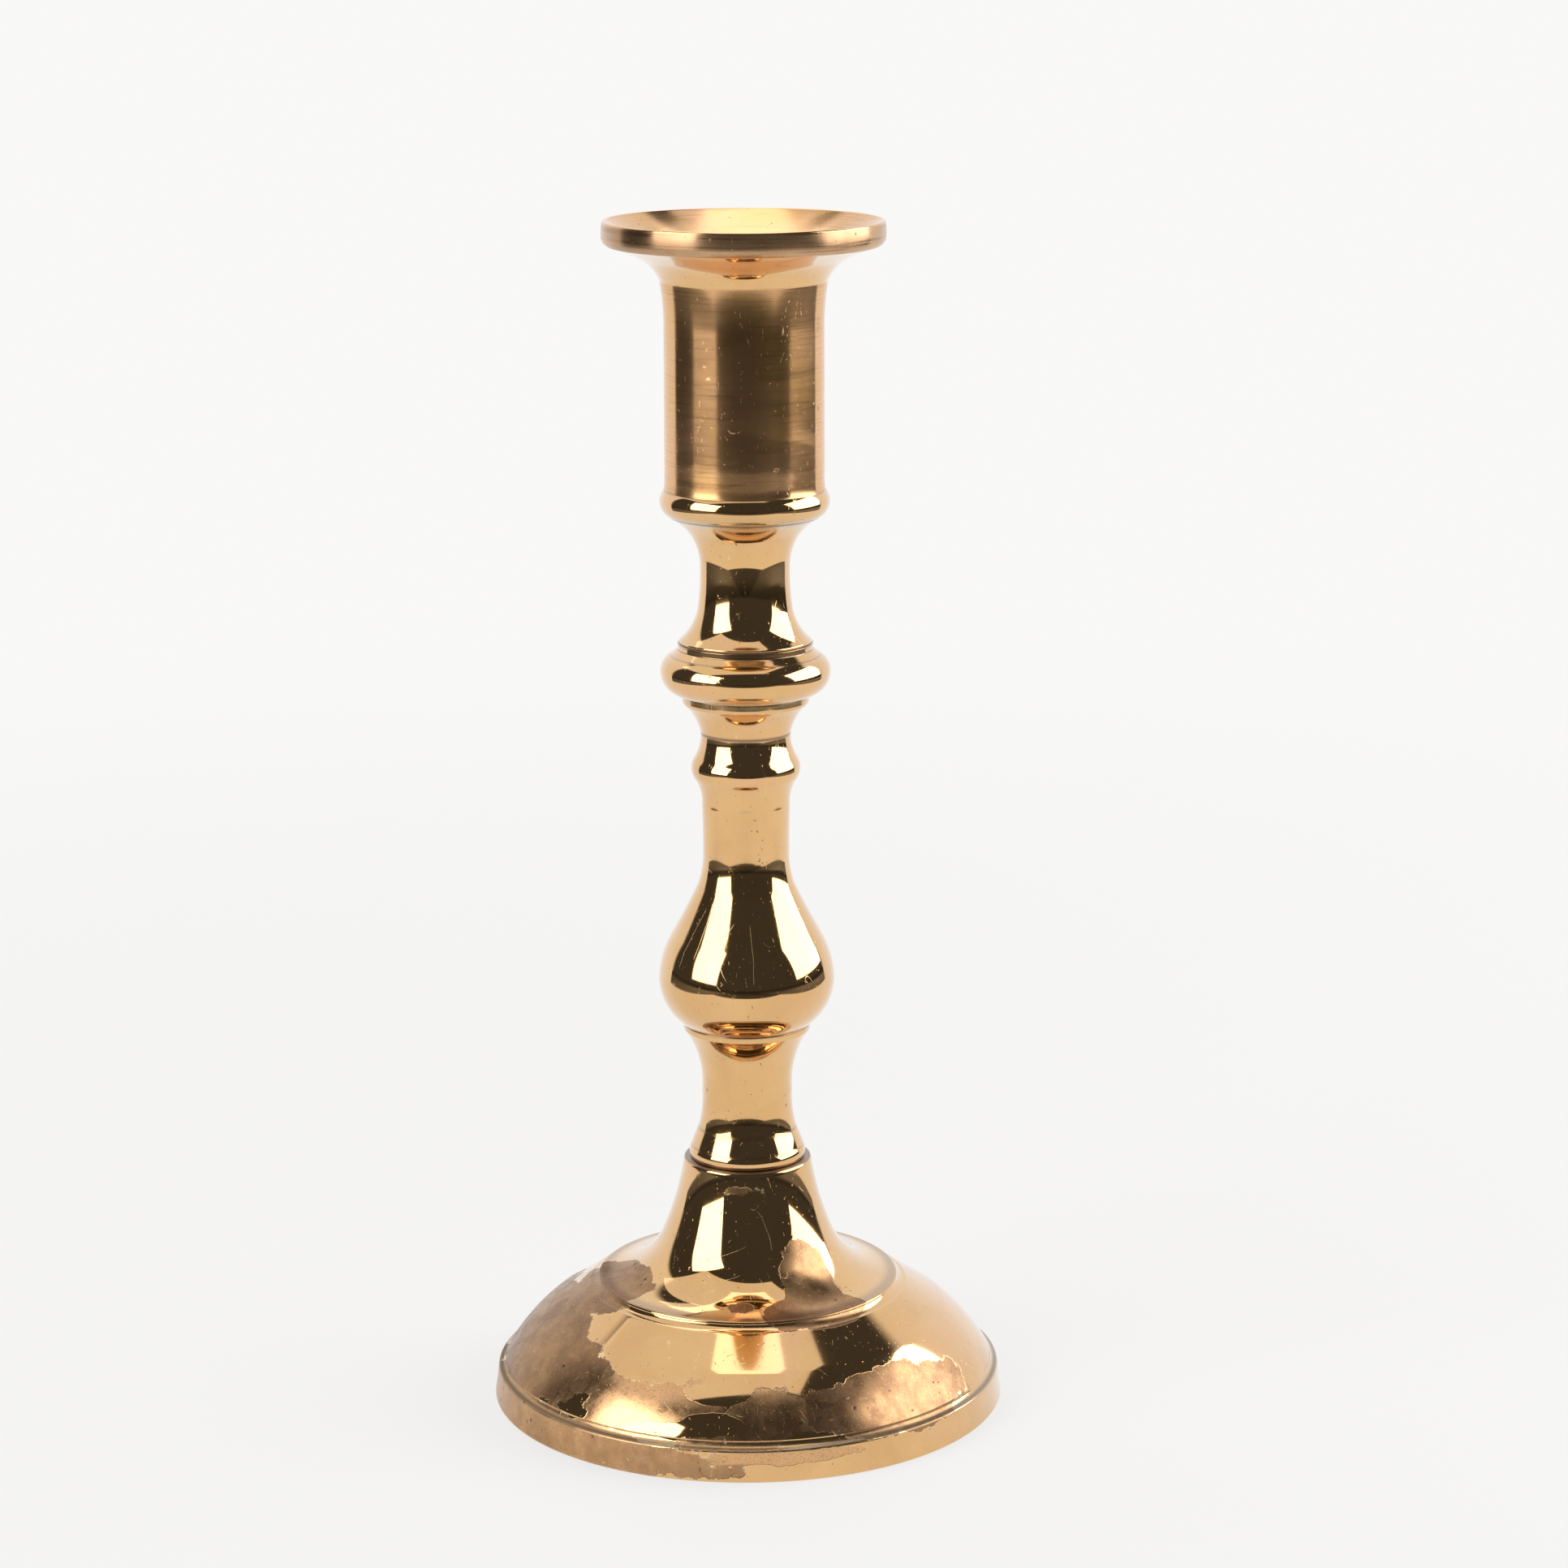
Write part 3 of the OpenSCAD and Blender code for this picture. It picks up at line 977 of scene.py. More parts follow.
@dataclass(frozen=True)
class PlatedSteel:
    """Zinc-plated steel: dull grey with a warm cast, darker stains and a little rust."""

    name: str
    colour: Colour = (0.55, 0.54, 0.5, 1.0)
    stain: Colour = (0.3, 0.29, 0.26, 1.0)
    rust: Colour = (0.19, 0.08, 0.035, 1.0)
    rough: float = 0.34
    rusted: float = 0.3

    def build(self, effects: Effects) -> bpy.types.Material:
        """Builds the material.

        Args:
            effects: the shared node groups.

        Returns:
            The material.
        """
        g = MaterialGraph(self.name, effects)
        cloud = g.noise(g.place, 160.0, 4.0, 0.6, 0.4)
        fine = g.noise(g.place, 1100.0, 4.0, 0.7)
        hair = g.effect(g.effects.hairlines, Scale=420.0, Width=0.03, Amount=0.6)
        patches = g.ramp(g.maths("ADD", g.noise(g.place, 240.0, 5.0, 0.7), self.rusted * 0.2), 0.62, 0.72)
        colour = g.mix(g.ramp(cloud, 0.35, 0.65), self.colour, self.stain)
        colour = g.mix(patches, colour, self.rust)
        g.shade("Base Color", colour)
        rough = g.ramp(fine, 0.3, 0.7, self.rough - 0.08, self.rough + 0.12)
        g.shade("Roughness", g.maths("MULTIPLY_ADD", patches, 0.35, rough, clamp=True))
        g.shade("Metallic", g.maths("MULTIPLY_ADD", patches, -0.85, 1.0, clamp=True))
        height = g.maths("MULTIPLY_ADD", fine, 0.012, g.maths("MULTIPLY", hair.outputs["Mask"], -0.01))
        height = g.maths("MULTIPLY_ADD", patches, 0.02, height)
        g.bump(height)
        return g.material


@dataclass(frozen=True)
class Paper:
    """White paper lit from all round, so that it glows evenly and shadows on it stay faint.

    Close to the object it is part glow and part matte white. Further out the glow takes over,
    and where it meets the surround it has the surround's brightness. From below it is clear,
    so that the underside of the object can be looked at.
    """

    name: str
    matte: float = 0.2
    glow: float = 0.70
    far_glow: float = 0.945
    near: float = 0.05
    far: float = 0.8

    def build(self) -> bpy.types.Material:
        """Builds the material.

        Returns:
            The material.
        """
        g = MaterialGraph(self.name)
        distance = g.add("ShaderNodeVectorMath", operation="LENGTH")
        g.feed(distance.inputs[0], g.place)
        out = g.ramp(distance.outputs["Value"], self.near, self.far)
        matte = (self.matte, self.matte, self.matte, 1.0)
        g.shade("Base Color", g.mix(out, matte, (0.0, 0.0, 0.0, 1.0)))
        g.shade("Emission Color", (*WARM_WHITE, 1.0))
        g.shade("Emission Strength", g.blend(out, self.glow, self.far_glow))
        seen_from_below = g.add("ShaderNodeNewGeometry").outputs["Backfacing"]
        g.shade("Alpha", g.maths("SUBTRACT", 1.0, seen_from_below))
        g.shade("Roughness", 0.9)
        g.shade("Specular IOR Level", 0.0)
        return g.material


# --------------------------------------------------------------------------- turned pieces


SEAM_HALF = 0.2
EDGE_FROM = 6.0
EDGE_FULL = 14.0


@dataclass(frozen=True)
class WornPatch:
    """A patch where the lacquer has gone, or where it has stayed if depth is below 0.

    Angles are in degrees round Z from the front, positive towards +X. Fresh goes from 0, an
    old brown patch, to 1, one that has hardly tarnished yet.
    """

    angle: float
    height: float
    half_angle: float
    half_height: float
    depth: float = 1.0
    fresh: float = 0.0

    def field(self, angle: np.ndarray, height: np.ndarray) -> np.ndarray:
        """The patch's field: depth * exp(-(da / half_angle)^2 - (dz / half_height)^2).

        Args:
            angle: each vertex's angle from the front, in degrees.
            height: each vertex's height in millimetres.

        Returns:
            The field at each vertex.
        """
        da = (angle - self.angle + 180) % 360 - 180
        return self.depth * np.exp(-((da / self.half_angle) ** 2)
                                   - ((height - self.height) / self.half_height) ** 2)


@dataclass
class TurnedPiece:
    """A brass piece turned round Z.

    Heights in its rows are above its seat, which is the face that it stands on. The heights
    in seam_shade, the painted shade lines, and those in grime_at, each with a reach, are above
    the table, and all are in millimetres.
    """

    name: str
    node: str
    slot: str
    seat: float
    parts: list[tuple[Side, Rows]]
    around: int = 256
    step: float = 0.55
    ease: float = 0.14
    wear_level: float = 0.0
    patches: tuple[WornPatch, ...] = ()
    grime_at: tuple[tuple[float, float], ...] = ()
    # Heights of painted shade lines above the table, each with how dark it is.
    seam_shade: tuple[tuple[float, float], ...] = ()

    def build(self) -> bpy.types.Object:
        """Makes the mesh and paints the wear on it.

        Returns:
            The piece, at its place in the frame, with no materials yet.
        """
        points, tags = outline(self.parts, self.step, self.ease)
        points = points + [0, self.seat]
        obj = revolve(self.name, points * MM, tags, self.around)
        co = vertices(obj)
        angle = np.degrees(np.arctan2(co[:, 0], -co[:, 1]))
        z = co[:, 2]
        worn, fresh = np.zeros(len(co)), np.zeros(len(co))
        for patch in self.patches:
            here = patch.field(angle, z)
            fresh = np.where(here > worn, patch.fresh, fresh) if patch.depth > 0 else fresh
            worn = np.maximum(worn, here) if patch.depth > 0 else worn + here
        proud, groove = self.edges(points)
        paint(obj, "peel", worn + self.wear_level)
        paint(obj, "fresh", fresh)
        paint(obj, "grime", self.near_seams(z))
        paint(obj, "wear", self.round_the_axis(proud, co))
        # crease_shade is painted shade: the outline's grooves, and the lines from seam_shade_at.
        paint(obj, "crease_shade", np.maximum(self.round_the_axis(groove, co), self.seam_shade_at(z)))
        return obj

    def near_seams(self, z: np.ndarray) -> np.ndarray:
        """How much dried polish lies at each height: max of exp(-|z - seam| / reach).

        Args:
            z: each vertex's height in millimetres.

        Returns:
            A number from 0 to 1 for each vertex.
        """
        grime = np.zeros(len(z))
        for seam, reach in self.grime_at:
            grime = np.maximum(grime, np.exp(-np.abs(z - seam) / reach))
        return np.clip(grime * 1.15 - 0.1, 0, 1)

    def seam_shade_at(self, z: np.ndarray) -> np.ndarray:
        """Painted shade at each height, darkest on a seam line: max of strength * exp(-((z - seam) /
        half)^2).

        Args:
            z: each vertex's height in millimetres.

        Returns:
            A number from 0 to 1 for each vertex.
        """
        dark = np.zeros(len(z))
        for seam, strength in self.seam_shade:
            dark = np.maximum(dark, strength * np.exp(-(((z - seam) / SEAM_HALF) ** 2)))
        return dark

    def edges(self, points: np.ndarray) -> tuple[np.ndarray, np.ndarray]:
        """Finds the proud edges and the grooves of the outline by how much it turns.

        The outline has its metal on the left, so it turns left at a proud edge and right in
        a groove. A turn of EDGE_FROM degrees between two stretches counts as 0, and of
        EDGE_FULL as 1.

        Args:
            points: the outline in millimetres.

        Returns:
            For each point of the outline, how proud and how deep it is, from 0 to 1.
        """
        before = points - np.roll(points, 1, axis=0)
        after = np.roll(points, -1, axis=0) - points
        cross = before[:, 0] * after[:, 1] - before[:, 1] * after[:, 0]
        turn = np.degrees(np.arctan2(cross, (before * after).sum(1)))
        if points[0, 0] < 1e-6:
            turn[[0, -1]] = 0
        span = EDGE_FULL - EDGE_FROM
        return np.clip((turn - EDGE_FROM) / span, 0, 1), np.clip((-turn - EDGE_FROM) / span, 0, 1)

    def round_the_axis(self, values: np.ndarray, co: np.ndarray) -> np.ndarray:
        """Repeats one value per outline point for each vertex round the axis.

        Args:
            values: one value for each point of the outline.
            co: the vertices, which revolve() made ring by ring.

        Returns:
            One value for each vertex. The two poles of a solid piece, if any, get 0.
        """
        rings = len(co) // self.around
        ring_values = values if rings == len(values) else values[1:-1]
        return np.append(np.repeat(ring_values, self.around), np.zeros(len(co) - rings * self.around))

    def dress(self, obj: bpy.types.Object, finishes: dict[Side, bpy.types.Material]) -> None:
        """Gives the piece its materials and ties it to the frame.

        Args:
            obj: the piece.
            finishes: the material for each side that the piece has.
        """
        ordered = [finishes[side] for side in Side if side in finishes]
        place_in_frame(obj, self.node, ordered)


@dataclass(frozen=True)
class Joint:
    """The register between two turned pieces, and the rod's hole through them."""

    spigot_r: float = 5.5
    spigot_h: float = 2.5
    slip: float = 0.05
    gap: float = 0.3
    rod_r: float = 3.0
    rod_clear: float = 0.2

    def socket(self, top: float, down_to: float) -> Rows:
        """The stretches from the edge of the socket in a top face down the rod's hole.

        Args:
            top: height of the face.
            down_to: height where the rod's hole ends.

        Returns:
            The rows, of which the last is at the end of the rod's hole.
        """
        floor = top - self.spigot_h - self.gap
        edge, hole = self.spigot_r + self.slip, self.rod_r + self.rod_clear
        return [(edge, top, 0), (edge, floor, 0), (hole, floor, 0), (hole, down_to, 0)]

    def spigot(self) -> Rows:
        """The stretches round the spigot, up to the seat at height 0."""
        return [(self.spigot_r, -self.spigot_h, 0), (self.spigot_r, 0, 0)]


# --------------------------------------------------------------------------- base and stem


@dataclass
class Base:
    """The cast base: foot ring, dome, disc, cone and collar, hollow from below."""

    foot_r: float = 49.69
    foot_inner_r: float = 45.9
    foot_h: float = 6.15
    disc_r: float = 28.8
    disc_h: float = 24.0
    collar_r: float = 12.4
    height: float = 47.8
    web_z: float = 41.0
    joint: Joint = Joint()

    def outer(self) -> Rows:
        """Runs from the foot's inner edge up over the dome and the cone to the collar.

        Returns:
            The shown rows.
        """
        foot, disc, collar = self.foot_r, self.disc_r, self.collar_r
        edge, face, top = self.foot_h, self.disc_h, self.height
        return [
            (self.foot_inner_r, 0, 0), (foot - 0.2, 0, 0), (foot, 0.3, -0.05),
            (foot - 0.7, edge - 0.55, 0.1), (foot - 1.1, edge - 0.05, 0), (foot - 1.35, edge, -0.25),
            (foot - 2.3, edge + 1.25, 0.64), (foot - 11.2, 17.4, 0), (disc + 2.1, face - 1.7, -0.25),
            (disc + 0.4, face - 0.6, 0.12), (disc, face - 0.05, 0), (disc - 0.6, face, -2),
            (collar + 4.2, 32.6, -0.5),
            (collar, top - 0.4, 0), (collar - 0.3, top, 0),
        ]

    def hollow(self) -> Rows:
        """Runs from the web that the nut pulls against down the hollow to the foot.

        Returns:
            The hollow's rows.
        """
        inner, disc, collar, web = self.foot_inner_r, self.disc_r, self.collar_r, self.web_z
        return [
            (collar - 3.4, web, -0.2), (collar - 2.8, web - 0.8, 0.3), (collar + 1, 31.2, 2.1),
            (disc - 2, 20.9, 0), (disc - 0.2, 19.8, 0), (inner - 9.6, 14.9, -0.5),
            (inner - 1.6, 6, -0.1),
        ]

    def piece(self) -> TurnedPiece:
        """Describes the base with its worn patches: those worn bare, then those left bright.

        Returns:
            The piece.
        """
        inside = self.joint.socket(self.height, self.web_z) + self.hollow()
        return TurnedPiece(
            "base_casting", "base", "base_brass", 0.0, [(Side.SHOWN, self.outer()), (Side.INSIDE, inside)],
            around=300, step=0.6, wear_level=0.1,
            patches=(
                WornPatch(-80, 14.0, 42, 9.0, 0.95),
                WornPatch(-12, 11.0, 38, 7.0, 0.75, 1.0),
                WornPatch(38, 11.0, 30, 6.2, 0.88),
                WornPatch(-58, 3.0, 62, 5.0, 0.9, 0.36),
                WornPatch(8, 4.6, 26, 1.8, 0.7, 0.5),
                WornPatch(-76, 23.0, 30, 4.0, 0.9),
                WornPatch(28, 23.6, 30, 2.6, 0.85),
                WornPatch(38, 29.0, 24, 6.5, 0.8),
                WornPatch(-4, 25.0, 13, 1.2, 0.6),
                WornPatch(150, 12.0, 45, 7.0, 0.8),
                WornPatch(112, 4.0, 30, 4.0, 0.6),
                WornPatch(-12, 44.5, 50, 3.0, 0.42),
                WornPatch(-8, 14.0, 7, 1.3, -0.9),
                WornPatch(-9, 9.8, 7, 1.7, -0.95),
                WornPatch(-22, 8.0, 5, 1.2, -0.9),
                WornPatch(5, 20.0, 45, 3.0, -0.35),
                WornPatch(62, 26.0, 10, 3.0, -0.4),
            ),
            grime_at=((self.foot_h, 0.3),),
            # Painted shade lines where the pedestal sits on the collar, at the foot's step and at the
            # disc's top.
            seam_shade=((self.height, 1.0), (self.foot_h, 0.8), (self.disc_h, 0.55)),
        )


@dataclass
class Stem:
    """The four turned pieces between the base and the cup, each on a spigot."""

    base_h: float = 47.8
    pedestal_h: float = 27.0
    pedestal_waist_r: float = 8.75
    baluster_h: float = 64.5
    bulb_r: float = 16.95
    shaft_r: float = 8.3
    waist_r: float = 8.6
    knop_h: float = 10.0
    knop_r: float = 16.2
    neck_h: float = 24.2
    neck_r: float = 8.55
    joint: Joint = Joint()

    @property
    def seats(self) -> tuple[float, ...]:
        """Heights of the seats of the pedestal, baluster, knop, neck and cup above the table."""
        return tuple(accumulate((self.base_h, self.pedestal_h, self.baluster_h, self.knop_h, self.neck_h)))

    def piece(self, name: str, place: int, rows: Rows, wear_level: float,
              grime_at: tuple[float, float], seam_shade_strengths: tuple[float, float]) -> TurnedPiece:
        """Describes one piece of the stem.

        Args:
            name: name of the piece and its node.
            place: its place in the stem, from 0 at the bottom.
            rows: the shown outline, from the seat to the top face.
            wear_level: how worn it is all over.
            grime_at: height of its grime above the table, and how far that reaches.
            seam_shade_strengths: how dark the painted shade lines at its seat and at its top are.

        Returns:
            The piece.
        """
        seat, top = self.seats[place], self.seats[place + 1]
        low = self.joint.spigot_h
        inside = self.joint.socket(rows[-1][1], -low) + self.joint.spigot()
        return TurnedPiece("turned_" + name, name, "stem_brass", seat,
                           [(Side.SHOWN, rows), (Side.INSIDE, inside)], wear_level=wear_level,
                           # Painted shade lines at the joints under and over the piece.
                           grime_at=(grime_at,), seam_shade=tuple(zip((seat, top), seam_shade_strengths)))

    def pedestal(self) -> TurnedPiece:
        """Describes the flared pedestal on the collar of the base.

        Returns:
            The piece.
        """
        top, waist = self.pedestal_h, self.pedestal_waist_r
        rows = [
            (10.9, 0, 0.1), (11.25, 1, 0.1), (10.9, 2.4, 0.05), (waist + 0.75, 6, -0.3),
            (waist, 13.6, -0.64), (waist + 1.9, top - 3.7, -0.05), (12.05, top - 1.4, 0.05),
            (12.25, top - 0.9, 0), (12.25, top, 0),
        ]
        return self.piece("pedestal", 0, rows, 0.22, (self.seats[0], 0.4), (1.0, 0.8))

    def baluster(self) -> TurnedPiece:
        """Describes the bulb, the shaft, the small bead and the waist under the knop.

        Returns:
            The piece.
        """
        top, bulb, shaft, waist = self.baluster_h, self.bulb_r, self.shaft_r, self.waist_r
        rows = [
            (12.3, 0, 0), (12.55, 0.25, 1.08), (bulb, 8.6, 0.6), (bulb - 2.6, 17.7, -0.1),
            (shaft + 1.05, 27.3, -0.27), (shaft, 33.4, -0.04), (shaft + 0.13, 43.2, -0.44),
            (shaft + 1.65, 48.4, 0.5), (shaft + 1.65, 52.1, -0.25), (waist, top - 8.4, 0),
            (waist, top - 7.4, -0.52), (11.9, top - 1.7, 0), (12.1, top - 1.2, 0), (12.1, top, 0),
        ]
        return self.piece("baluster", 1, rows, 0.2, (self.seats[2], 0.8), (0.8, 0.8))

    def knop(self) -> TurnedPiece:
        """Describes the knop, a bead with a low collar on top.

        Returns:
            The piece.
        """
        knop = self.knop_r
        rows = [
            (12.4, 0, 0), (12.9, 0.2, 0.85), (knop, 4.2, 0.6), (knop - 1.9, 7.7, 0),
            (12.85, 8.9, 0), (12.85, self.knop_h, 0),
        ]
        return self.piece("knop", 2, rows, 0.24, (self.seats[2], 1.2), (0.8, 0.8))

    def neck(self) -> TurnedPiece:
        """Describes the neck that flares under the cup.

        Returns:
            The piece.
        """
        top, waist = self.neck_h, self.neck_r
        rows = [
            (12.55, 0, 0), (12.55, 0.5, -0.6), (waist + 0.5, 6.4, -0.18), (waist, 14.5, -0.5),
            (waist + 1.85, top - 3.5, -0.26), (14.45, top, 0),
        ]
        return self.piece("neck", 3, rows, 0.2, (self.seats[4], 1.1), (0.8, 1.0))

    def pieces(self) -> list[TurnedPiece]:
        """The four pieces from the bottom up."""
        return [self.pedestal(), self.baluster(), self.knop(), self.neck()]


@dataclass
class CandleCup:
    """The candle socket with its drip pan, tapped from below for the rod."""

    seat: float
    height: float = 55.1
    cup_r: float = 15.0
    pan_r: float = 26.5
    bore_r: float = 11.25
    mouth: float = 46.5
    floor_z: float = 19.5
    tapped_r: float = 3.05
    tapped_h: float = 12.0
    bead_h: float = 5.0
    joint: Joint = Joint()

    def piece(self) -> TurnedPiece:
        """Describes the cup, whose barrel and dish are brushed and whose rim is turned.

        Returns:
            The piece.
        """
        lip, cup, pan, bore = self.height, self.cup_r, self.pan_r, self.bore_r
        tapped = [(0, self.tapped_h, 0), (self.tapped_r, self.tapped_h, 0),
                  (self.tapped_r, -self.joint.spigot_h, 0)] + self.joint.spigot()
        bead = [(14.4, 0, 1.27)]
        barrel = [(cup + 0.2, self.bead_h, -0.05), (cup + 0.05, self.bead_h + 2, 0),
                  (cup, lip - 19.6, -0.18)]
        flare = [(cup + 0.7, lip - 11.2, -0.45), (cup + 4.35, lip - 7.1, -0.12)]
        rim = [(pan - 1.2, lip - 4.6, 0.2), (pan - 0.1, lip - 3.3, 0.1)]
        dish = [
            (pan - 0.2, lip - 0.35, 0.1), (pan - 0.55, lip, 0), (pan - 0.75, lip, 0.03),
            (pan - 1, lip - 0.15, -0.5), (bore + 1.95, lip - 6.4, 0.55),
        ]
        bored = [(bore, self.mouth, 0), (bore, self.floor_z, -0.3), (bore - 1, self.floor_z - 1, 0),
                 (0, self.floor_z - 1, 0)]
        parts = [(Side.INSIDE, tapped), (Side.SHOWN, bead), (Side.BRUSHED, barrel), (Side.SHOWN, flare),
                 (Side.TURNED, rim), (Side.BRUSHED, dish), (Side.INSIDE, bored)]
        patches = (
            WornPatch(66, self.seat + 36.5, 3.5, 2.2, 0.62, 1.0),
            WornPatch(23, self.seat + 10.5, 3.2, 0.6, 0.6, 1.0),
        )
        return TurnedPiece("candle_cup_and_pan", "candle_cup", "cup_brass", self.seat, parts,
                           around=280, step=0.5, wear_level=0.16, patches=patches,
                           grime_at=((self.seat, 1.3),),
                           # Painted shade lines at the joint with the neck and along the top of the bead.
                           seam_shade=((self.seat, 1.0), (self.seat + self.bead_h, 0.5)))


# --------------------------------------------------------------------------- fastening


@dataclass
class Fastening:
    """The tie rod and what holds it inside the base: plain washer, lock washer and nut."""

    web_z: float
    rod_high: float
    rod_low: float = 29.0
    rod_r: float = 3.0
    rod_bevel: float = 0.6
    thread_pitch: float = 1.0
    thread_depth: float = 0.5
    thread_length: float = 16.0
    washer_t: float = 1.6
    washer_r: float = 8.0
    washer_hole_r: float = 3.25
    lock_r: float = 5.5
    lock_hole_r: float = 3.1
    slit: float = 0.7
    nut_flat_r: float = 5.0
    nut_h: float = 5.0
    nut_hole_r: float = 3.05
    nut_bevel: float = 0.45
    nut_face: float = 0.97
    nut_slope: float = math.radians(30)

    def rod(self) -> bpy.types.Object:
        """Makes the rod, with a thread at each end.

        Its radius is rod_r - depth * V(z / pitch - angle / turn), where V is a triangle wave
        from 0 to 1. The depth fades to 0 over the last pitch of each thread, towards the
        plain middle, and the ends are bevelled.

        Returns:
            The rod.
        """
        around, per_pitch = 36, 10
        ends = int(self.thread_length / self.thread_pitch) * per_pitch
        middle_low, middle_high = self.rod_low + self.thread_length, self.rod_high - self.thread_length
        z = np.concatenate([
            np.linspace(self.rod_low, middle_low, ends + 1),
            np.linspace(middle_low, middle_high, 24)[1:-1],
            np.linspace(middle_high, self.rod_high, ends + 1),
        ])[:, None]
        angle = 2 * math.pi * np.arange(around)[None, :] / around
        wave = np.abs(2 * ((z / self.thread_pitch - angle / (2 * math.pi)) % 1) - 1)
        plain = np.minimum(z - middle_low, middle_high - z)
        cut = self.thread_depth * np.clip(-plain / self.thread_pitch, 0, 1)
        end = np.minimum(z - self.rod_low, self.rod_high - z)
        r = np.minimum(self.rod_r - cut * wave, self.rod_r - self.rod_bevel + end)
        co = np.vstack([round_z(r, angle, z), [0, 0, self.rod_low], [0, 0, self.rod_high]]) * MM
        first = np.arange(around)
        last = first + (len(z) - 1) * around
        tris = np.vstack([fan(len(co) - 2, first[::-1]), fan(len(co) - 1, last)])
        return make_mesh("threaded_tie_rod", co, grid_faces(len(z), around), tris)

    def nut(self) -> bpy.types.Object:
        """Makes the hexagon nut, chamfered on both faces.

        A side stands at flat / cos(angle from the middle of the flat). The chamfer cone meets
        it at a depth of (side - face radius) * tan(nut_slope) below each face.

        Returns:
            The nut.
        """
        around = 144
        high = self.web_z - 2 * self.washer_t
        low = high - self.nut_h
        angle = 2 * math.pi * np.arange(around) / around
        side = self.nut_flat_r / np.cos(angle % (math.pi / 3) - math.pi / 6)
        face = self.nut_flat_r * self.nut_face
        drop = (side - face) * math.tan(self.nut_slope)
        hole, bevel = self.nut_hole_r, self.nut_bevel
        flat = np.ones(around)
        rings = [
            (hole * flat, (low + bevel) * flat), ((hole + bevel) * flat, low * flat),
            (face * flat, low * flat), (side, low + drop), (side, high - drop),
            (face * flat, high * flat), ((hole + bevel) * flat, high * flat),
            (hole * flat, (high - bevel) * flat),
        ]
        r, z = np.moveaxis(np.array(rings), 1, 0)
        co = round_z(r, angle, z) * MM
        faces = grid_faces(len(rings) + 1, around) % len(co)
        obj = make_mesh("hexagon_nut", co, faces, np.zeros((0, 3), int))
        obj.data.set_sharp_from_angle(angle=math.radians(25))
        return obj

    def washer_section(self, inner: float, outer: float, high: float, step: float,
                       ease: float) -> tuple[np.ndarray, np.ndarray]:
        """Outlines the section of a washer, a rectangle with rounded corners.

        Args:
            inner: radius of the hole.
            outer: radius of the outside.
            high: height of the upper face.
            step: longest distance between two points.
            ease: size of the rounding.

        Returns:
            The points, (n, 2), and their sides.
        """
        low = high - self.washer_t
        rows = [(inner, low, 0), (outer, low, 0), (outer, high, 0), (inner, high, 0)]
        return outline([(Side.SHOWN, rows)], step, ease)

    def plain_washer(self) -> bpy.types.Object:
        """Makes the flat washer against the base."""
        points, tags = self.washer_section(self.washer_hole_r, self.washer_r, self.web_z, 0.8, 0.3)
        return revolve("flat_washer", points * MM, tags, 128)

    def lock_washer(self) -> bpy.types.Object:
        """Makes the split washer: its section swept round from one cut face to the other.

        At radius r the cut faces stand at asin(slit / 2 / r) to each side of +X, so the slit
        is as wide outside as inside.

        Returns:
            The washer.
        """
        steps = 96
        high = self.web_z - self.washer_t
        section, _ = self.washer_section(self.lock_hole_r, self.lock_r, high, 0.6, 0.25)
        start = np.arcsin(self.slit / 2 / section[:, 0])[None, :]
        t = np.linspace(0, 1, steps + 1)[:, None]
        angle = start + (2 * math.pi - 2 * start) * t
        swept = round_z(section[None, :, 0], angle, section[None, :, 1])
        r, z = section.mean(axis=0)
        turn = math.asin(self.slit / 2 / r)
        hubs = [[r * math.cos(turn), side * r * math.sin(turn), z] for side in (1, -1)]
        co = np.vstack([swept, hubs]) * MM
        first = np.arange(len(section))
        last = first + steps * len(section)
        caps = np.vstack([fan(len(co) - 2, first), fan(len(co) - 1, last[::-1])])
        obj = make_mesh("split_lock_washer", co, grid_faces(steps + 1, len(section))[:, ::-1], caps)
        obj.data.set_sharp_from_angle(angle=math.radians(40))
        return obj

    def build(self, rod: bpy.types.Material, washers: bpy.types.Material,
              nut: bpy.types.Material) -> None:
        """Builds the four pieces, gives them their finishes and ties them to the frame.

        Args:
            rod: finish of the rod.
            washers: finish of both washers.
            nut: finish of the nut.
        """
        place_in_frame(self.rod(), "tie_rod", [rod])
        place_in_frame(self.plain_washer(), "plain_washer", [washers])
        place_in_frame(self.lock_washer(), "lock_washer", [washers])
        place_in_frame(self.nut(), "hex_nut", [nut])


# --------------------------------------------------------------------------- studio


@dataclass(frozen=True)
class SoftBox:
    """A rectangular lamp that faces the candlestick.

    Angle is in degrees round Z from the front, positive towards +X, and rise is above the
    horizon, both seen from aim_z above the origin. Turn, in degrees, spins the lamp about
    the line to the candlestick.
    """

    name: str
    angle: float
    rise: float
    distance: float
    width: float
    height: float
    radiance: float
    turn: float = 0.0
    aim_z: float = 0.1

    def build(self) -> bpy.types.Object:
        """Adds the lamp. Its power is radiance * pi * area, which is what a flat lamp needs.

        Returns:
            The lamp.
        """
        a, e = math.radians(self.angle), math.radians(self.rise)
        towards = Vector((math.sin(a) * math.cos(e), -math.cos(a) * math.cos(e), math.sin(e)))
        lamp = bpy.data.lights.new(self.name, "AREA")
        lamp.shape = "RECTANGLE"
        lamp.size, lamp.size_y = self.width, self.height
        lamp.energy = self.radiance * math.pi * self.width * self.height
        obj = bpy.data.objects.new(self.name, lamp)
        obj.location = towards * self.distance + Vector((0, 0, self.aim_z))
        spin = Quaternion((0, 0, 1), math.radians(self.turn))
        obj.rotation_euler = (towards.to_track_quat("Z", "Y") @ spin).to_euler()
        bpy.context.scene.collection.objects.link(obj)
        return obj


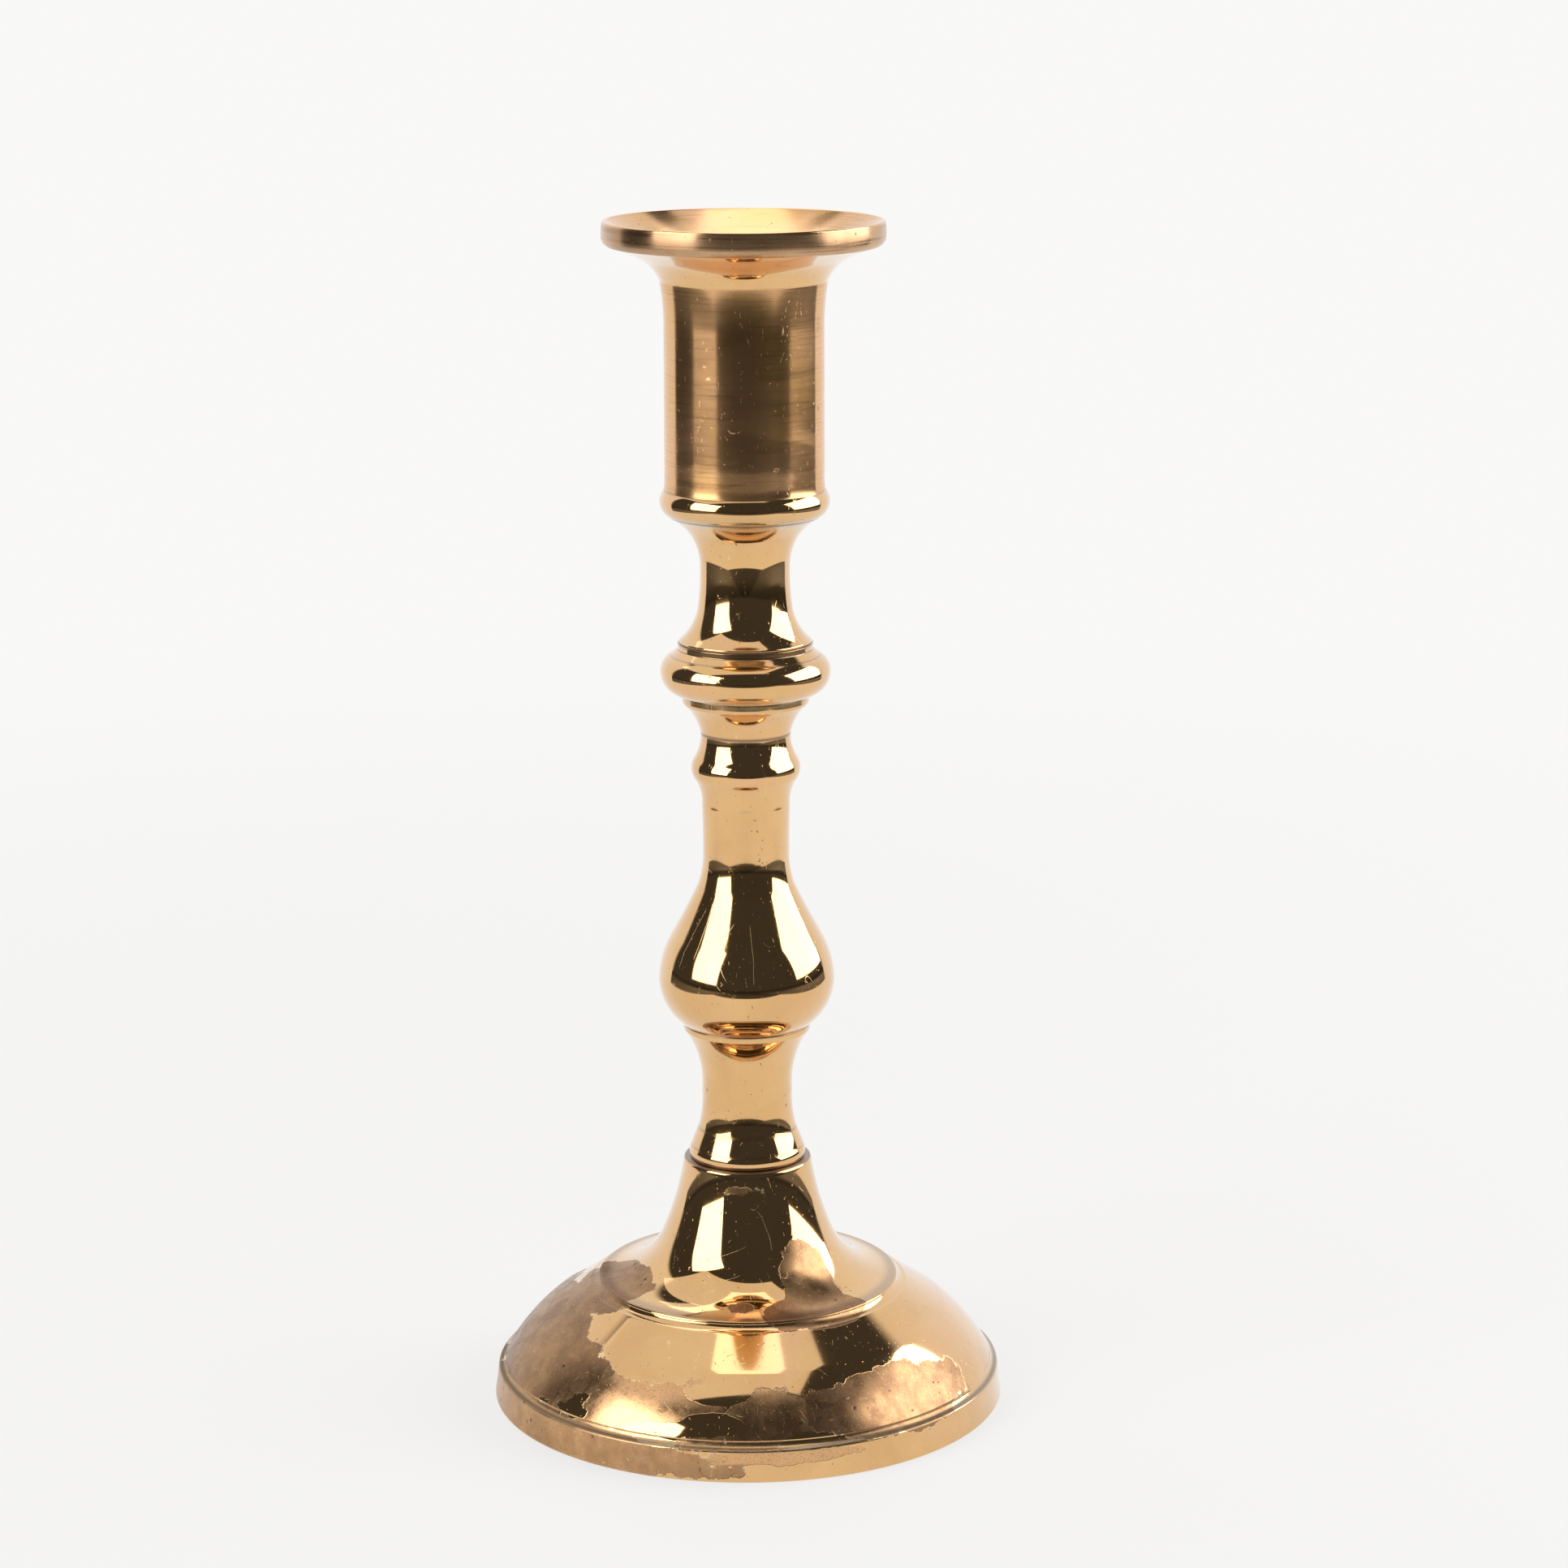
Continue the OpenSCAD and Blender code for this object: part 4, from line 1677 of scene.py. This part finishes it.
@dataclass
class Studio:
    """A white table and backdrop in a dark room, with soft boxes at the sides and overhead."""

    table_front: float = 0.475
    table_half: float = 0.46
    floor_half: float = 4.0
    floor_lift: float = 0.0006
    front_shade: float = 0.07
    side_shade: float = 0.12
    room: float = 0.055
    white: float = 0.95
    backdrop: float = 0.945
    dark_left: float = -116.0
    dark_right: float = 122.0
    backdrop_rise: float = 44.0
    half_fade: float = 3.0
    boxes: tuple[SoftBox, ...] = (
        SoftBox("soft_box_left", -58, 22, 1.1, 0.76, 0.78, 3.9),
        SoftBox("soft_box_right", 94, 23, 1.1, 1.10, 0.80, 3.9),
        SoftBox("ceiling_panel", -106, 76.8, 1.438, 1.88, 1.50, 0.85, turn=106),
        SoftBox("ceiling_far", 180, 50.5, 1.6, 0.84, 0.50, 0.85),
        SoftBox("ceiling_lamp", 181, 68, 1.458, 0.56, 1.55, 1.1),
    )

    def floor(self, paper: bpy.types.Material) -> None:
        """Lays the pale table top, and the dark floor that only reflections see beyond it.

        The dark floor has a strip in front of the table and one on each side, which ends
        where the room behind turns white.

        Args:
            paper: the finish of the table top.
        """
        half = self.floor_half
        co = np.array([[-half, -half, 0], [half, -half, 0], [half, half, 0], [-half, half, 0]], float)
        plate = make_mesh("table_top", co, np.array([[0, 1, 2, 3]]), np.zeros((0, 3), int))
        plate.data.materials.append(paper)
        side, front, lift = self.table_half, -self.table_front, self.floor_lift
        left = -1 / math.tan(math.radians(-self.dark_left))
        right = -1 / math.tan(math.radians(self.dark_right))
        co = np.array([
            [-half, -half, lift], [-side, -half, lift], [side, -half, lift], [half, -half, lift],
            [-side, front, lift], [side, front, lift], [-side, left * side, lift],
            [-half, left * half, lift], [half, right * half, lift], [side, right * side, lift],
        ])
        quads = np.array([[0, 1, 6, 7], [1, 2, 5, 4], [2, 3, 8, 9]])
        card = make_mesh("dark_room_floor", co, quads, np.zeros((0, 3), int))
        for name, shade in (("dark_floor_front", self.front_shade), ("dark_floor_side", self.side_shade)):
            dark = MaterialGraph(name)
            dark.shade("Base Color", (shade, shade, shade, 1))
            dark.shade("Specular IOR Level", 0.0)
            card.data.materials.append(dark.material)
        card.data.polygons.foreach_set("material_index", [1, 0, 1])
        card.visible_camera = False
        card.visible_shadow = False
        card.visible_diffuse = False

    def surround(self) -> None:
        """Sets the world: a white backdrop in a dark room, and plain white for the camera.

        The backdrop is white where a direction's angle from the front lies beyond dark_left
        or dark_right, and it rises less than backdrop_rise. All else is the dark room.
        """
        world = bpy.data.worlds.new("studio_surround")
        world.use_nodes = True
        world.node_tree.nodes.clear()
        g = Graph(world.node_tree)
        way = g.add("ShaderNodeTexCoord").outputs["Generated"]
        x, y, z = g.axes(way)
        angle = g.maths("MULTIPLY", g.maths("ARCTAN2", x, g.maths("MULTIPLY", y, -1.0)), 180 / math.pi)
        fade = self.half_fade
        inside_left = g.ramp(angle, self.dark_left - fade, self.dark_left + fade)
        inside_right = g.ramp(angle, self.dark_right - fade, self.dark_right + fade, 1.0, 0.0)
        in_front = g.maths("MULTIPLY", inside_left, inside_right)
        above = g.ramp(z, math.sin(math.radians(self.backdrop_rise - fade)),
                       math.sin(math.radians(self.backdrop_rise + fade)))
        dark = g.maths("MAXIMUM", in_front, above)
        white = (self.white, self.white, self.white, 1)
        room = (self.room, self.room, self.room, 1)
        camera_ray = g.add("ShaderNodeLightPath").outputs["Is Camera Ray"]
        plain = tuple(self.backdrop * part for part in WARM_WHITE) + (1,)
        colour = g.mix(camera_ray, g.mix(dark, white, room), plain)
        shade = g.add("ShaderNodeBackground", Color=colour, Strength=1.0)
        g.add("ShaderNodeOutputWorld", Surface=shade.outputs["Background"])
        bpy.context.scene.world = world

    def build(self) -> None:
        """Builds the floor, the surround and the lamps."""
        self.floor(Paper("white_paper", far_glow=self.backdrop).build())
        self.surround()
        for box in self.boxes:
            box.build()
        bpy.context.scene.view_settings.view_transform = "Standard"
        LOG.info("studio: %d lamps", len(self.boxes))


@dataclass
class Viewpoint:
    """The camera, at its distance and height in candlestick heights, and its three turns."""

    distance: float = 3.325
    rise: float = 1.296
    yaw: float = -0.547
    pitch: float = 12.94
    roll: float = -0.121
    lens: float = 93.93

    def build(self) -> None:
        """Adds the camera: level at first, then turned, tipped down and rolled."""
        yaw, pitch, roll = (math.radians(v) for v in (self.yaw, self.pitch, self.roll))
        right = Vector((math.cos(yaw), math.sin(yaw), 0))
        ahead = Vector((-math.sin(yaw), math.cos(yaw), 0))
        forward = ahead * math.cos(pitch) - Vector((0, 0, math.sin(pitch)))
        up = ahead * math.sin(pitch) + Vector((0, 0, math.cos(pitch)))
        x = right * math.cos(roll) + up * math.sin(roll)
        y = up * math.cos(roll) - right * math.sin(roll)
        turn = Matrix((x, y, -forward)).transposed().to_4x4()
        lens = bpy.data.cameras.new("camera")
        lens.lens = self.lens
        lens.sensor_width = 36.0
        lens.clip_start = 0.01
        obj = bpy.data.objects.new("camera", lens)
        obj.matrix_world = Matrix.Translation((0, -self.distance * HEIGHT, self.rise * HEIGHT)) @ turn
        bpy.context.scene.collection.objects.link(obj)
        bpy.context.scene.camera = obj


# --------------------------------------------------------------------------- main


def main() -> None:
    """Builds the candlestick piece by piece, then the studio and the camera."""
    logging.basicConfig(level=logging.INFO, format="%(name)s: %(message)s")
    effects = Effects()
    polished = PolishedBrass("lacquered_brass").build(effects)
    bulb = PolishedBrass("scratched_lacquered_brass", long_scratches=(
        LongScratch(-12.0, 86.5, 97.5, 2.0, -9.0), LongScratch(4.5, 86.0, 97.5, -2.0, 1.0),
        LongScratch(-52.0, 87.5, 99.5, 8.0, -2.0, 0.06), LongScratch(-41.0, 90.0, 100.5, 2.0, 1.5, 0.05),
    )).build(effects)
    base_brass = PolishedBrass("worn_lacquered_brass", long_scratches=(
        LongScratch(-34.0, 31.0, 34.5, 34.0, 2.0, 0.08), LongScratch(-30.0, 27.5, 29.5, 26.0, 3.0, 0.08),
        LongScratch(16.0, 33.0, 41.0, -9.0, 3.0, 0.07),
    )).build(effects)
    satin = PolishedBrass("brushed_brass", gold=(0.80, 0.455, 0.215, 1.0), gloss=0.155, streaks=0.07,
                          smudged_below=192.0, anisotropy=0.72, ring_fineness=3200.0, ring_dark=0.25,
                          scratches=0.3, coat=0.3).build(effects)
    turned = PolishedBrass("turned_brass", gold=(0.60, 0.37, 0.20, 1.0), deep_gold=(0.46, 0.27, 0.14, 1.0),
                           gloss=0.27, streaks=0.4, anisotropy=0.85, ring_height=0.0022,
                           ring_fineness=1300.0, ring_dark=0.6, coat=0.15).build(effects)
    cast = CastBrass("cast_brass").build(effects)
    bored = CastBrass("bored_brass", colour=(0.5, 0.33, 0.15, 1.0), brown=(0.2, 0.12, 0.06, 1.0),
                      grain=0.02, rough=0.35).build(effects)
    base = Base()
    stem = Stem(base_h=base.height)
    cup = CandleCup(seat=stem.seats[-1])
    casting = base.piece()
    casting.dress(casting.build(), {Side.SHOWN: base_brass, Side.INSIDE: cast})
    for piece in stem.pieces():
        shown = bulb if piece.node == "baluster" else polished
        piece.dress(piece.build(), {Side.SHOWN: shown, Side.INSIDE: bored})
    holder = cup.piece()
    holder.dress(holder.build(), {Side.SHOWN: polished, Side.INSIDE: bored, Side.BRUSHED: satin,
                                  Side.TURNED: turned})
    Fastening(web_z=base.web_z, rod_high=cup.seat + cup.tapped_h - 1.0).build(
        PlatedSteel("rod_steel", rusted=0.4).build(effects),
        PlatedSteel("washer_steel").build(effects),
        PlatedSteel("nut_steel", colour=(0.6, 0.58, 0.52, 1.0), rusted=0.2).build(effects),
    )
    Studio().build()
    Viewpoint().build()


if __name__ == "__main__":
    main()
